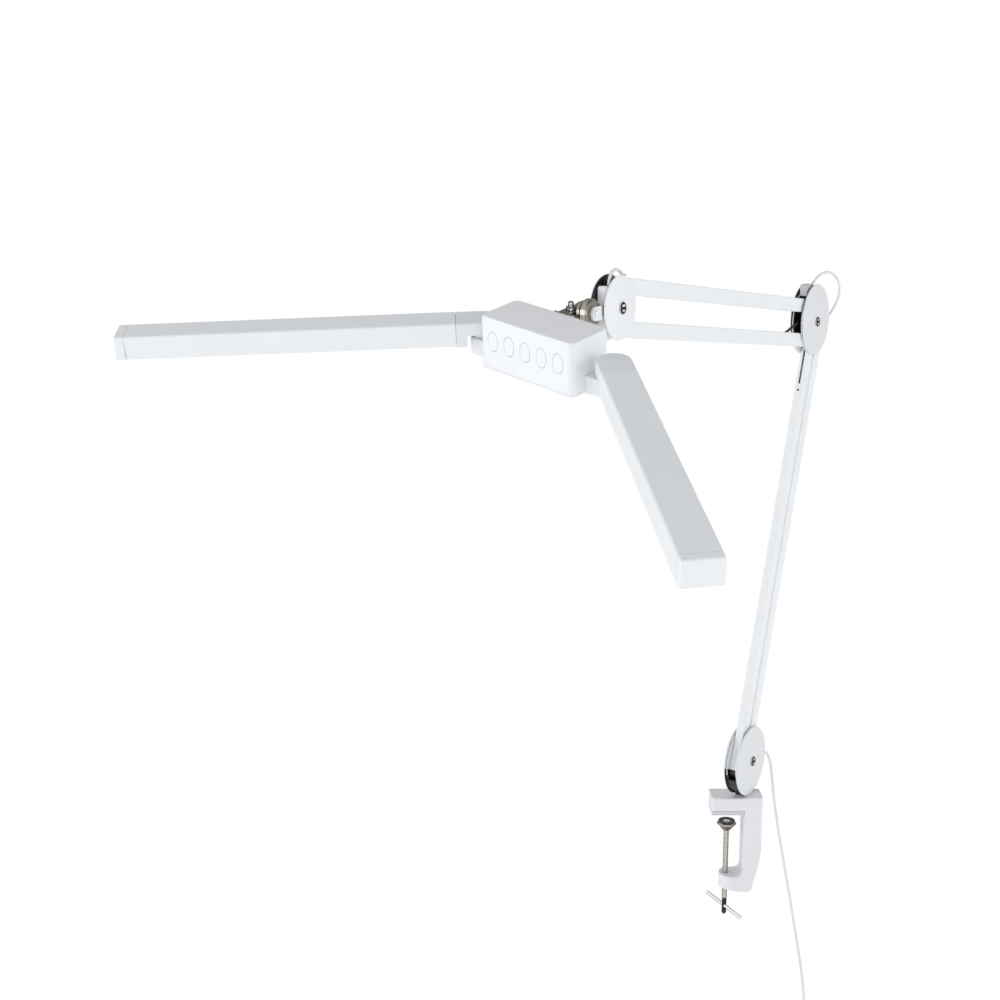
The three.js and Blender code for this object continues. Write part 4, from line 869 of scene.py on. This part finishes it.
# The wrist, across the arm from its mid plane
YOKE_LEFT = -20 * MM
LUG = (-6.5 * MM, -3.8 * MM)
LUG_SPLIT = -1 * MM
LUG_SPACE = 0.2 * MM  # between the lug and the bolt's head
BOLT_HEAD = 0.8 * MM
BOLT_HEAD_R = 3 * MM
BOLT_R = 2.2 * MM
BOLT_END = 6.6 * MM
DRUM = (-3.6 * MM, 2.1 * MM)
DRUM_R = 12.3 * MM
DRUM_BORE = 2.5 * MM
DRUM_STEP = 1.1 * MM
DRUM_GROOVES = 3
DRUM_GROOVE = 0.35 * MM
PIN_R = 2.4 * MM
PIN_TOP = 6 * MM
PIN_SHORTER = 3 * MM
PIN_CHAMFER = 0.5 * MM

SEAM = 0.2 * MM
LAMPS = 48
LAMP_PITCH = 5.2 * MM
LAMP_SIZE = (2.8 * MM, 3.5 * MM, 0.8 * MM)
LAMP_DROP = 1.2 * MM


def hook_points():
    """The upper spring's hook: straight in the tube, then up to the elbow through a soft bend."""
    before, after = HOOK_SOFT
    first = HOOK_BEND + Vector((HOOK_STRAIGHT, 0, 0))
    start = HOOK_BEND + Vector((before, 0, 0))
    on = HOOK_BEND + (HOOK_END - HOOK_BEND).normalized() * after
    return [*smooth_path([first, start, on], HOOK_STEP), HOOK_END]


def bored(piece, tool):
    """Cuts a tool out of a piece and removes the tool."""
    cutter = piece.modifiers.new("bore", "BOOLEAN")
    cutter.operation = "DIFFERENCE"
    cutter.solver = "EXACT"
    cutter.object = tool
    piece = made_plain(piece)
    bpy.data.objects.remove(tool)
    return piece


class OBJECT_OT_lamp_clamp(bpy.types.Operator):
    """Clamp frame, pad, bush, threaded screw and tommy bar"""

    bl_idname = "object.lamp_clamp"
    bl_label = "Clamp"

    def execute(self, context):
        self.frame()
        self.jaw_pad()
        turn_again("socket_bush", UP, "plastic", 0.15)
        self.swivel_pad()
        self.tommy_bar()
        self.screw()
        return {"FINISHED"}

    def frame(self):
        """The cast frame, with a fuller back to its lower jaw."""
        node = "clamp_frame"
        piece = copy_of(node)
        low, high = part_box(node)
        for vertex in piece.data.vertices:
            if vertex.co.x > high.x - BACK_DEPTH:
                share = (BACK_TOP - (vertex.co.z - low.z)) / (BACK_TOP - BACK_BOTTOM)
                vertex.co.x += BACK_FULL * eased(share)
        # the clamp's darker coat is painted shade
        in_place_of(node, softened(piece, 0.8 * MM), "clamp")

    def jaw_pad(self):
        """The ribbed pad, flush with the jaw."""
        node = "jaw_pad"
        piece = copy_of(node)
        low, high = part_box(node)
        for vertex in piece.data.vertices:
            for axis in (0, 1):
                if vertex.co[axis] < low[axis] + NEAR:
                    vertex.co[axis] -= PAD_FLUSH
                elif axis and vertex.co[axis] > high[axis] - NEAR:
                    vertex.co[axis] += PAD_FLUSH
        in_place_of(node, softened(piece, 0.12 * MM), "clamp")

    def swivel_pad(self):
        """A dark dish with a bright rim and a bright boss in its middle."""
        node = "swivel_pad"
        origin = middle_of(node)
        profile = profile_of(node, origin, UP)[0]
        top = max(height for radius, height in profile)
        rim = max(radius for radius, height in profile)
        below = [place for place in profile if place[1] < top - NOTHING]
        floor = top - DISH_DEPTH
        dish = [(DISH_RIM * rim, top), (DISH_FLOOR * rim, floor)]
        dish += [(DISH_BOSS_R, floor), (DISH_BOSS_TOP * DISH_BOSS_R, top), (0, top)]
        if below[0][1] > below[-1][1]:
            below.reverse()
        piece = softened(lathe(f"{node}_dressed", below + dish, origin, UP, 128), DISH_EDGE)
        in_place_of(node, piece, "nickel")
        piece.data.materials.append(MATERIALS["dark"])
        piece.data.materials.append(MATERIALS["worn"])
        for face in piece.data.polygons:
            place = face.center - origin
            away = place.to_2d().length
            if place.z > floor - DISH_EDGE:
                face.material_index = 1 if DISH_BOSS_R < away < DISH_RIM * rim else 2

    def tommy_bar(self):
        """A plain rod, whose bright middle and dark edges are a painted reflection."""
        node = "tommy_bar"
        axis = joint_axis("tommy_bar_slide")
        origin = middle_of(node)
        ends = [(vertex.co - origin).dot(axis) for vertex in frame["nodes"][node].data.vertices]
        first = min(ends) - TOMMY_EXTRA
        last = max(ends) + TOMMY_EXTRA
        piece = lathe(f"{node}_dressed", rod(TOMMY_R, first, last), origin, axis, 48)
        in_place_of(node, softened(piece, 0.15 * MM), "rod")

    def screw(self):
        """A core with a rolled thread above a plain sleeve that the tommy bar goes through."""
        low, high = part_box("clamp_screw")
        bar_low, bar_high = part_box("tommy_bar")
        foot_radius, foot_height = (share * SLEEVE_R for share in SLEEVE_FOOT)
        core = THREAD_R - THREAD_DEPTH
        start, end = low.z + SLEEVE_LENGTH, high.z - 2 * THREAD_DEPTH
        shoulder = start + SLEEVE_R - core
        profile = [
            (0, low.z), (foot_radius, low.z), (SLEEVE_R, low.z + foot_height), (SLEEVE_R, start),
            (core, shoulder), (core, end), (CORE_TIP * core, high.z), (0, high.z),
        ]
        body = lathe("clamp_screw_dressed", profile, Vector(), UP, 96)
        bore = rod(TOMMY_BORE, -2 * SLEEVE_R, 2 * SLEEVE_R)
        hole = lathe("bore", bore, (bar_low + bar_high) / 2, joint_axis("tommy_bar_slide"), 48)
        body = softened(bored(body, hole), 0.2 * MM)
        finished(body, "nickel", "screw", "nickel", "clamp_screw")
        body.data.materials.append(MATERIALS["dark"])
        for face in body.data.polygons:
            if face.center.z < start:
                face.material_index = 1
        grown(
            "clamp_screw_thread",
            helix_tree(),
            Matrix.Translation((0, 0, shoulder + THREAD_DEPTH)),
            "screw",
            "nickel",
            "nickel",
            Radius=core,
            Wire=THREAD_DEPTH,
            Length=end - shoulder - 2 * THREAD_DEPTH,
            Turns=(end - start - SLEEVE_R) / THREAD_PITCH,
            Sides=4,
        )


class OBJECT_OT_lamp_arms(bpy.types.Operator):
    """Arm tubes and their springs"""

    bl_idname = "object.lamp_arms"
    bl_label = "Arms"

    def execute(self, context):
        for name in ("lower_rear_tube", "upper_top_tube", "upper_bottom_tube"):
            dress(name, "paint", 0.3, 4)
        self.front_tube()
        place = frame_at(LOWER_PIVOT, LOWER_RUN, UP)
        spring = self.spring("lower_spring", place, LOWER_SPRING, "steel")
        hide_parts("lower_spring")
        along = joint_point("head_level") - joint_point("upper_arm_tilt")
        place = frame_at(joint_point("upper_bottom_tilt"), along, UP)
        self.spring("upper_spring", place, UPPER_SPRING, "black_paint")
        points = [place @ (point * MM) for point in hook_points()]
        hook = tube_curve("upper_spring_hook", points, HOOK_R)
        finished(hook, "black_paint", "upper_bottom", "black_paint", "upper_spring")
        return {"FINISHED"}

    def front_tube(self):
        """The lower front tube with its end inside the base hub painted black as shade."""
        node = "lower_front_tube"
        end, along = HUB_SHADE_SPLIT["base"][0], -HUB_SHADE_SPLIT["base"][1]
        piece = softened(split(copy_of(node), end, along), 0.3 * MM, 4)
        in_place_of(node, piece, "paint")
        coat_black_and_shade(piece, lambda face: (face.center - end).dot(along) < 0)

    def spring(self, node, place, start, slot):
        return grown(
            f"{node}_coil",
            helix_tree(),
            place @ Matrix.Translation((start, 0, 0)) @ Matrix.Rotation(math.pi / 2, 4, "Y"),
            BODY_OF[node],
            slot,
            slot,
            Radius=SPRING_R,
            Wire=SPRING_WIRE / 2,
            Length=SPRING_LENGTH,
            Turns=SPRING_LENGTH / (SPRING_PITCH * SPRING_WIRE),
            Sides=8,
        )


class OBJECT_OT_lamp_hubs(bpy.types.Operator):
    """Hub plates, crowned covers and their screws at the base, the elbow and the head"""

    bl_idname = "object.lamp_hubs"
    bl_label = "Hubs"

    def execute(self, context):
        for hub in ("base", "elbow", "head"):
            self.hub(hub)
            for side in ("near", "far"):
                self.disc(hub, f"{hub}_disc_{side}")
        for name in ("base_screw_near", "base_screw_far", "elbow_bolt", "head_bolt"):
            self.screw(name)
        turn_again("base_post", UP, "steel", 0.2)
        turn_again("cord_gland", ARM_X, "cord", 0.15, 64)
        dress("lead_clip", "clip", 0.3)
        return {"FINISHED"}

    def hub(self, hub):
        """White side plates and a black block between them, with painted shade in black on the plates' inner faces
        beyond the split; at the head all beyond the split is black, the hub's own black with painted shade.
        """
        node = f"{hub}_hub"
        piece = softened(split(copy_of(node), *HUB_SHADE_SPLIT[hub]), 0.25 * MM)
        in_place_of(node, piece, "paint")
        if hub == "head":
            coat_black_and_shade(piece, lambda face: self.beyond(face, hub))
            return
        coat_black_and_shade(piece, lambda face: abs(from_middle(face)) < PLATE_INNER)
        coat_black_and_shade(piece, lambda face: self.inward(face) and self.beyond(face, hub))

    def disc(self, hub, node):
        """A crowned cover whose inside, beyond the split, is painted black as shade."""
        origin = middle_of(node)
        profile, closed = profile_of(node, origin, ARM_Y)
        piece = lathe(f"{node}_dressed", profile, origin, ARM_Y, 160, closed)
        if hub == "elbow":
            grow = Matrix.Translation(origin + ELBOW_RISE) @ Matrix.Scale(ELBOW_GROWTH, 4)
            piece.data.transform(grow @ Matrix.Translation(-origin))
        piece = softened(split(piece, *HUB_SHADE_SPLIT[hub]), 0.35 * MM)
        # the covers of the base and the elbow take the darker copy of the plastic as painted shade
        in_place_of(node, piece, "cover" if hub == "head" else "large_cover")
        coat_black_and_shade(piece, lambda face: self.inward(face) and self.beyond(face, hub))

    def beyond(self, face, hub):
        point, normal = HUB_SHADE_SPLIT[hub]
        return (face.center - point).dot(normal) > 0

    def inward(self, face):
        """Whether a face of a side plate or a cover looks at the arm's mid plane."""
        away = from_middle(face)
        return face.normal.dot(ARM_Y) * away < -FACING * abs(away)

    def screw(self, node):
        """A bright screw with a dark ring of painted shadow round its head."""
        piece = copy_of(node)
        shape = bmesh.new()
        shape.from_mesh(piece.data)
        top = max(abs(vertex.co.dot(ARM_Y) - ARM_MIDDLE) for vertex in shape.verts)
        heads = [face for face in shape.faces if self.level(face) > top - SCREW_TOP]
        bmesh.ops.inset_individual(shape, faces=heads, thickness=SCREW_SHADOW_RING)
        # painted shadow: the ring and the top of the head's side take the dark steel
        for face in shape.faces:
            if self.level(face) > top - SCREW_SHADOW_DEPTH and face not in heads:
                face.material_index = 1
        shape.to_mesh(piece.data)
        shape.free()
        piece = softened(piece, 0.1 * MM, 2)
        shadow_marks = [face.material_index for face in piece.data.polygons]
        in_place_of(node, piece, "aluminium")
        piece.data.materials.append(MATERIALS["dark"])
        for face, mark in zip(piece.data.polygons, shadow_marks):
            face.material_index = mark

    def level(self, face):
        """How far the middle of a screw's face is from the arm's mid plane."""
        return abs(face.calc_center_median().dot(ARM_Y) - ARM_MIDDLE)


class OBJECT_OT_lamp_wrist(bpy.types.Operator):
    """The tilting, rolling and swivelling joint behind the head"""

    bl_idname = "object.lamp_wrist"
    bl_label = "Wrist"

    def execute(self, context):
        turn_again("tilt_washer", ARM_Y, "black_plastic", 0.2)
        for name in ("knuckle", "stem", "head_bracket"):
            dress(name, "nickel", 0.2)
        self.yoke()
        self.bolt()
        self.drum()
        self.pin()
        return {"FINISHED"}

    def yoke(self):
        """The white yoke; its lug is a thin one against the outer face of the drum."""
        node = "head_yoke"
        piece = copy_of(node)
        edge = (HEAD_CENTRE + ARM_X * YOKE_LEFT).dot(ARM_X) - NEAR
        near, far = LUG
        for vertex in piece.data.vertices:
            if vertex.co.dot(ARM_X) > edge:
                continue
            level = vertex.co.dot(ARM_Y) - ARM_MIDDLE
            vertex.co += ARM_Y * ((far if level > LUG_SPLIT else near) - level)
        in_place_of(node, softened(piece, 0.3 * MM), "paint")

    def bolt(self):
        """The tilt bolt with a small flat head on the lug."""
        node = "tilt_bolt"
        axis = joint_axis("head_tilt")
        origin = joint_point("head_tilt")
        if axis.dot(ARM_Y) < 0:
            axis = -axis
        shift = ARM_MIDDLE - origin.dot(ARM_Y)
        seat = LUG[0] - LUG_SPACE
        profile = [
            (0, seat - BOLT_HEAD), (BOLT_HEAD_R, seat - BOLT_HEAD), (BOLT_HEAD_R, seat),
            (BOLT_R, seat), (BOLT_R, BOLT_END), (0, BOLT_END),
        ]
        profile = [(radius, height + shift) for radius, height in profile]
        piece = softened(lathe(f"{node}_dressed", profile, origin, axis, 64), 0.3 * MM)
        in_place_of(node, piece, "paint")

    def drum(self):
        """The grooved friction drum between the lug and the knuckle."""
        origin = joint_point("head_tilt")
        shift = ARM_MIDDLE - origin.dot(ARM_Y)
        near, far = (height + shift for height in DRUM)
        shoulder = near + DRUM_STEP
        profile = [(DRUM_BORE, near), (DRUM_R - DRUM_STEP, near)]
        profile += [(DRUM_R - DRUM_STEP, shoulder), (DRUM_R, shoulder)]
        for groove in range(DRUM_GROOVES):
            level = shoulder + (far - shoulder) * (groove + 1) / (DRUM_GROOVES + 1)
            profile += [(DRUM_R, level - DRUM_GROOVE), (DRUM_R - DRUM_GROOVE, level)]
            profile.append((DRUM_R, level + DRUM_GROOVE))
        profile += [(DRUM_R, far), (DRUM_BORE, far)]
        piece = softened(lathe("tilt_drum", profile, origin, ARM_Y, 128, closed=True), 0.1 * MM)
        finished(piece, "nickel", BODY_OF["knuckle"], "nickel")

    def pin(self):
        """The swivel pin, a plain rod above its collars."""
        node = "swivel_pin"
        axis = joint_axis("head_swivel")
        origin = joint_point("head_swivel")
        profile = profile_of(node, origin, axis)[0]
        top = max(height for radius, height in profile)
        shaft = [(radius, height) for radius, height in profile if height < top - PIN_TOP]
        reach = top - PIN_SHORTER
        shaft += [(PIN_R, shaft[-1][1]), (PIN_R, reach - PIN_CHAMFER)]
        shaft += [(PIN_R - PIN_CHAMFER, reach), (0, reach)]
        piece = softened(lathe(f"{node}_dressed", shaft, origin, axis, 96), 0.15 * MM)
        in_place_of(node, piece, "chrome")


class OBJECT_OT_lamp_head(bpy.types.Operator):
    """Control box with its bottom cover, board and push buttons"""

    bl_idname = "object.lamp_head"
    bl_label = "Control Box"

    def execute(self, context):
        dress("housing", "plastic", 0.35)
        dress("bottom_cover", "plastic", 0.3)
        dress("control_board", "board", 0.05)
        for index in range(1, 6):
            dress(f"button_{index}", "cover", 0.3)
        return {"FINISHED"}


class OBJECT_OT_lamp_bars(bpy.types.Operator):
    """The two light bars with their hinges, diffusers and rows of small lamps"""

    bl_idname = "object.lamp_bars"
    bl_label = "Light Bars"

    def execute(self, context):
        for side in ("left", "right"):
            axis = joint_axis(f"{side}_bar_fold")
            turn_again(f"{side}_hinge_pin", axis, "plastic", 0.15)
            dress(f"{side}_hinge_cap", "cap", 0.5)
            self.shell(side)
            dress(f"{side}_end_cap", "plastic", 0.5)
            dress(f"{side}_diffuser", "diffuser", 0.2)
            dress(f"{side}_led_strip", "aluminium", 0.05, 1)
            self.lamps(side, axis)
        return {"FINISHED"}

    def shell(self, side):
        """A bar's shell, a little longer at both ends so that its seams are fine."""
        node = f"{side}_bar_shell"
        hinge = joint_point(f"{side}_bar_fold")
        along = middle_of(node) - hinge
        along.z = 0
        along.normalize()
        piece = copy_of(node)
        reach = [(vertex.co - hinge).dot(along) for vertex in piece.data.vertices]
        for vertex, place in zip(piece.data.vertices, reach):
            if place < min(reach) + NEAR:
                vertex.co -= along * SEAM
            elif place > max(reach) - NEAR:
                vertex.co += along * SEAM
        in_place_of(node, softened(piece, 0.12 * MM), "paint")

    def lamps(self, side, axis):
        """A row of small lamps under the strip."""
        hinge = joint_point(f"{side}_bar_fold")
        strip = middle_of(f"{side}_diffuser")
        along = strip - hinge
        along -= axis * along.dot(axis)
        reach = along.length
        level = (middle_of(f"{side}_led_strip") - hinge).dot(axis)
        place = frame_at(hinge + axis * level, along, axis)
        half = LAMP_PITCH * (LAMPS - 1) / 2
        grown(
            f"{side}_lamps",
            row_tree(),
            place,
            f"{side}_bar",
            "diffuser",
            "lamp",
            Count=LAMPS,
            Start=(reach - half, 0, -LAMP_DROP),
            Step=(LAMP_PITCH, 0, 0),
            Size=LAMP_SIZE,
        )


# ---------------------------------------------------------------- camera and studio


class SCENE_OT_lamp_camera(bpy.types.Operator):
    """Camera that frames the whole lamp"""

    bl_idname = "scene.lamp_camera"
    bl_label = "Camera"

    def execute(self, context):
        stage = context.scene.lamp_stage
        data = bpy.data.cameras.new("camera")
        data.lens = stage.lens
        data.sensor_width = 36
        data.clip_end = 50
        camera = link("camera", data)
        camera.location = stage.eye
        camera.rotation_euler = (math.pi / 2 - stage.pitch, 0, 0)
        context.scene.camera = camera
        return {"FINISHED"}


FLOOR_HALF = 400
LIGHT_TARGET = Vector((-0.2, -0.1, 0.35))
LIGHT_SIZE = (2.4, 2.0)
LEFT_LIGHT = (-3.6, -0.4, 1.0)
RIGHT_LIGHT = (3.1, -0.7, 0.8)
FRONT_LIGHT = (-0.4, -3.5, 1.1)


def area_light(name, place, power):
    """A large soft light that looks at the lamp."""
    data = bpy.data.lights.new(name, "AREA")
    data.shape = "RECTANGLE"
    data.size, data.size_y = LIGHT_SIZE
    data.energy = power
    light = link(name, data)
    light.location = place
    light.rotation_euler = (LIGHT_TARGET - Vector(place)).to_track_quat("-Z", "Y").to_euler()


class SCENE_OT_lamp_stage(bpy.types.Operator):
    """Pale floor, soft light from the front and an even white surround"""

    bl_idname = "scene.lamp_stage"
    bl_label = "Studio"

    def execute(self, context):
        stage = context.scene.lamp_stage
        mesh = bpy.data.meshes.new("floor")
        half = FLOOR_HALF
        corners = [(-half, -half), (half, -half), (half, half), (-half, half)]
        mesh.from_pydata([(x, y, stage.floor) for x, y in corners], [], [(0, 1, 2, 3)])
        floor = link("floor", mesh)
        floor.data.materials.append(self.pale())
        area_light("left light", LEFT_LIGHT, stage.left)
        area_light("right light", RIGHT_LIGHT, stage.right)
        area_light("front light", FRONT_LIGHT, stage.front)
        self.surround(context, stage.ambient)
        context.scene.view_settings.view_transform = "Standard"
        return {"FINISHED"}

    def pale(self):
        """The floor's finish, which the camera sees as even white."""
        pale, tree, shader = new_material("pale floor", Roughness=0.9)
        shader.inputs["Base Color"].default_value = (0.9, 0.9, 0.9, 1)
        shader.inputs["Emission Color"].default_value = (1, 1, 1, 1)
        shader.inputs["Emission Strength"].default_value = 0.2
        white = tree_node(tree, "ShaderNodeEmission", Color=(1, 1, 1, 1), Strength=1.0)
        output = tree.nodes["Material Output"]
        self.seen_as(tree, output, shader.outputs["BSDF"], white.outputs["Emission"])
        return pale

    def surround(self, context, strength):
        world = bpy.data.worlds.new("white surround")
        world.use_nodes = True
        tree = world.node_tree
        background = tree.nodes["Background"]
        background.inputs["Color"].default_value = (1, 1, 1, 1)
        background.inputs["Strength"].default_value = strength
        white = tree_node(tree, "ShaderNodeBackground", Color=(1, 1, 1, 1), Strength=1.0)
        output = tree.nodes["World Output"]
        self.seen_as(tree, output, background.outputs["Background"], white.outputs["Background"])
        context.scene.world = world

    def seen_as(self, tree, output, lit, seen):
        """Gives the camera one surface and the light another."""
        path = tree.nodes.new("ShaderNodeLightPath")
        mix = tree.nodes.new("ShaderNodeMixShader")
        tree.links.new(path.outputs["Is Camera Ray"], mix.inputs["Fac"])
        tree.links.new(lit, mix.inputs[1])
        tree.links.new(seen, mix.inputs[2])
        tree.links.new(mix.outputs["Shader"], output.inputs["Surface"])


# ---------------------------------------------------------------- panel and registration

STEPS = (
    OBJECT_OT_lamp_cord,
    OBJECT_OT_lamp_clamp,
    OBJECT_OT_lamp_arms,
    OBJECT_OT_lamp_hubs,
    OBJECT_OT_lamp_wrist,
    OBJECT_OT_lamp_head,
    OBJECT_OT_lamp_bars,
)
STUDIO = (SCENE_OT_lamp_camera, SCENE_OT_lamp_stage)


class VIEW3D_PT_desk_lamp(bpy.types.Panel):
    """Lists the steps that dress the lamp"""

    bl_idname = "VIEW3D_PT_desk_lamp"
    bl_label = "Desk Lamp"
    bl_space_type = "VIEW_3D"
    bl_region_type = "UI"
    bl_category = "Desk Lamp"

    def draw(self, context):
        column = self.layout.column()
        for group in (context.scene.lamp_finish, context.scene.lamp_cord, context.scene.lamp_stage):
            for name in group.__annotations__:
                column.prop(group, name)
        for step in (*STUDIO, *STEPS):
            column.operator(step.bl_idname)


GROUPS = {"lamp_finish": LampFinish, "lamp_cord": LampCord, "lamp_stage": LampStage}
CLASSES = (*GROUPS.values(), *STUDIO, *STEPS, VIEW3D_PT_desk_lamp)


def register():
    for entry in CLASSES:
        bpy.utils.register_class(entry)
    for name, group in GROUPS.items():
        setattr(bpy.types.Scene, name, PointerProperty(type=group))


def unregister():
    for name in GROUPS:
        delattr(bpy.types.Scene, name)
    for entry in reversed(CLASSES):
        bpy.utils.unregister_class(entry)


def main():
    register()
    make_materials(bpy.context.scene.lamp_finish)
    for step in (STUDIO[0], *STEPS, STUDIO[1]):
        area, name = step.bl_idname.split(".")
        getattr(getattr(bpy.ops, area), name)()


if __name__ == "__main__":
    main()
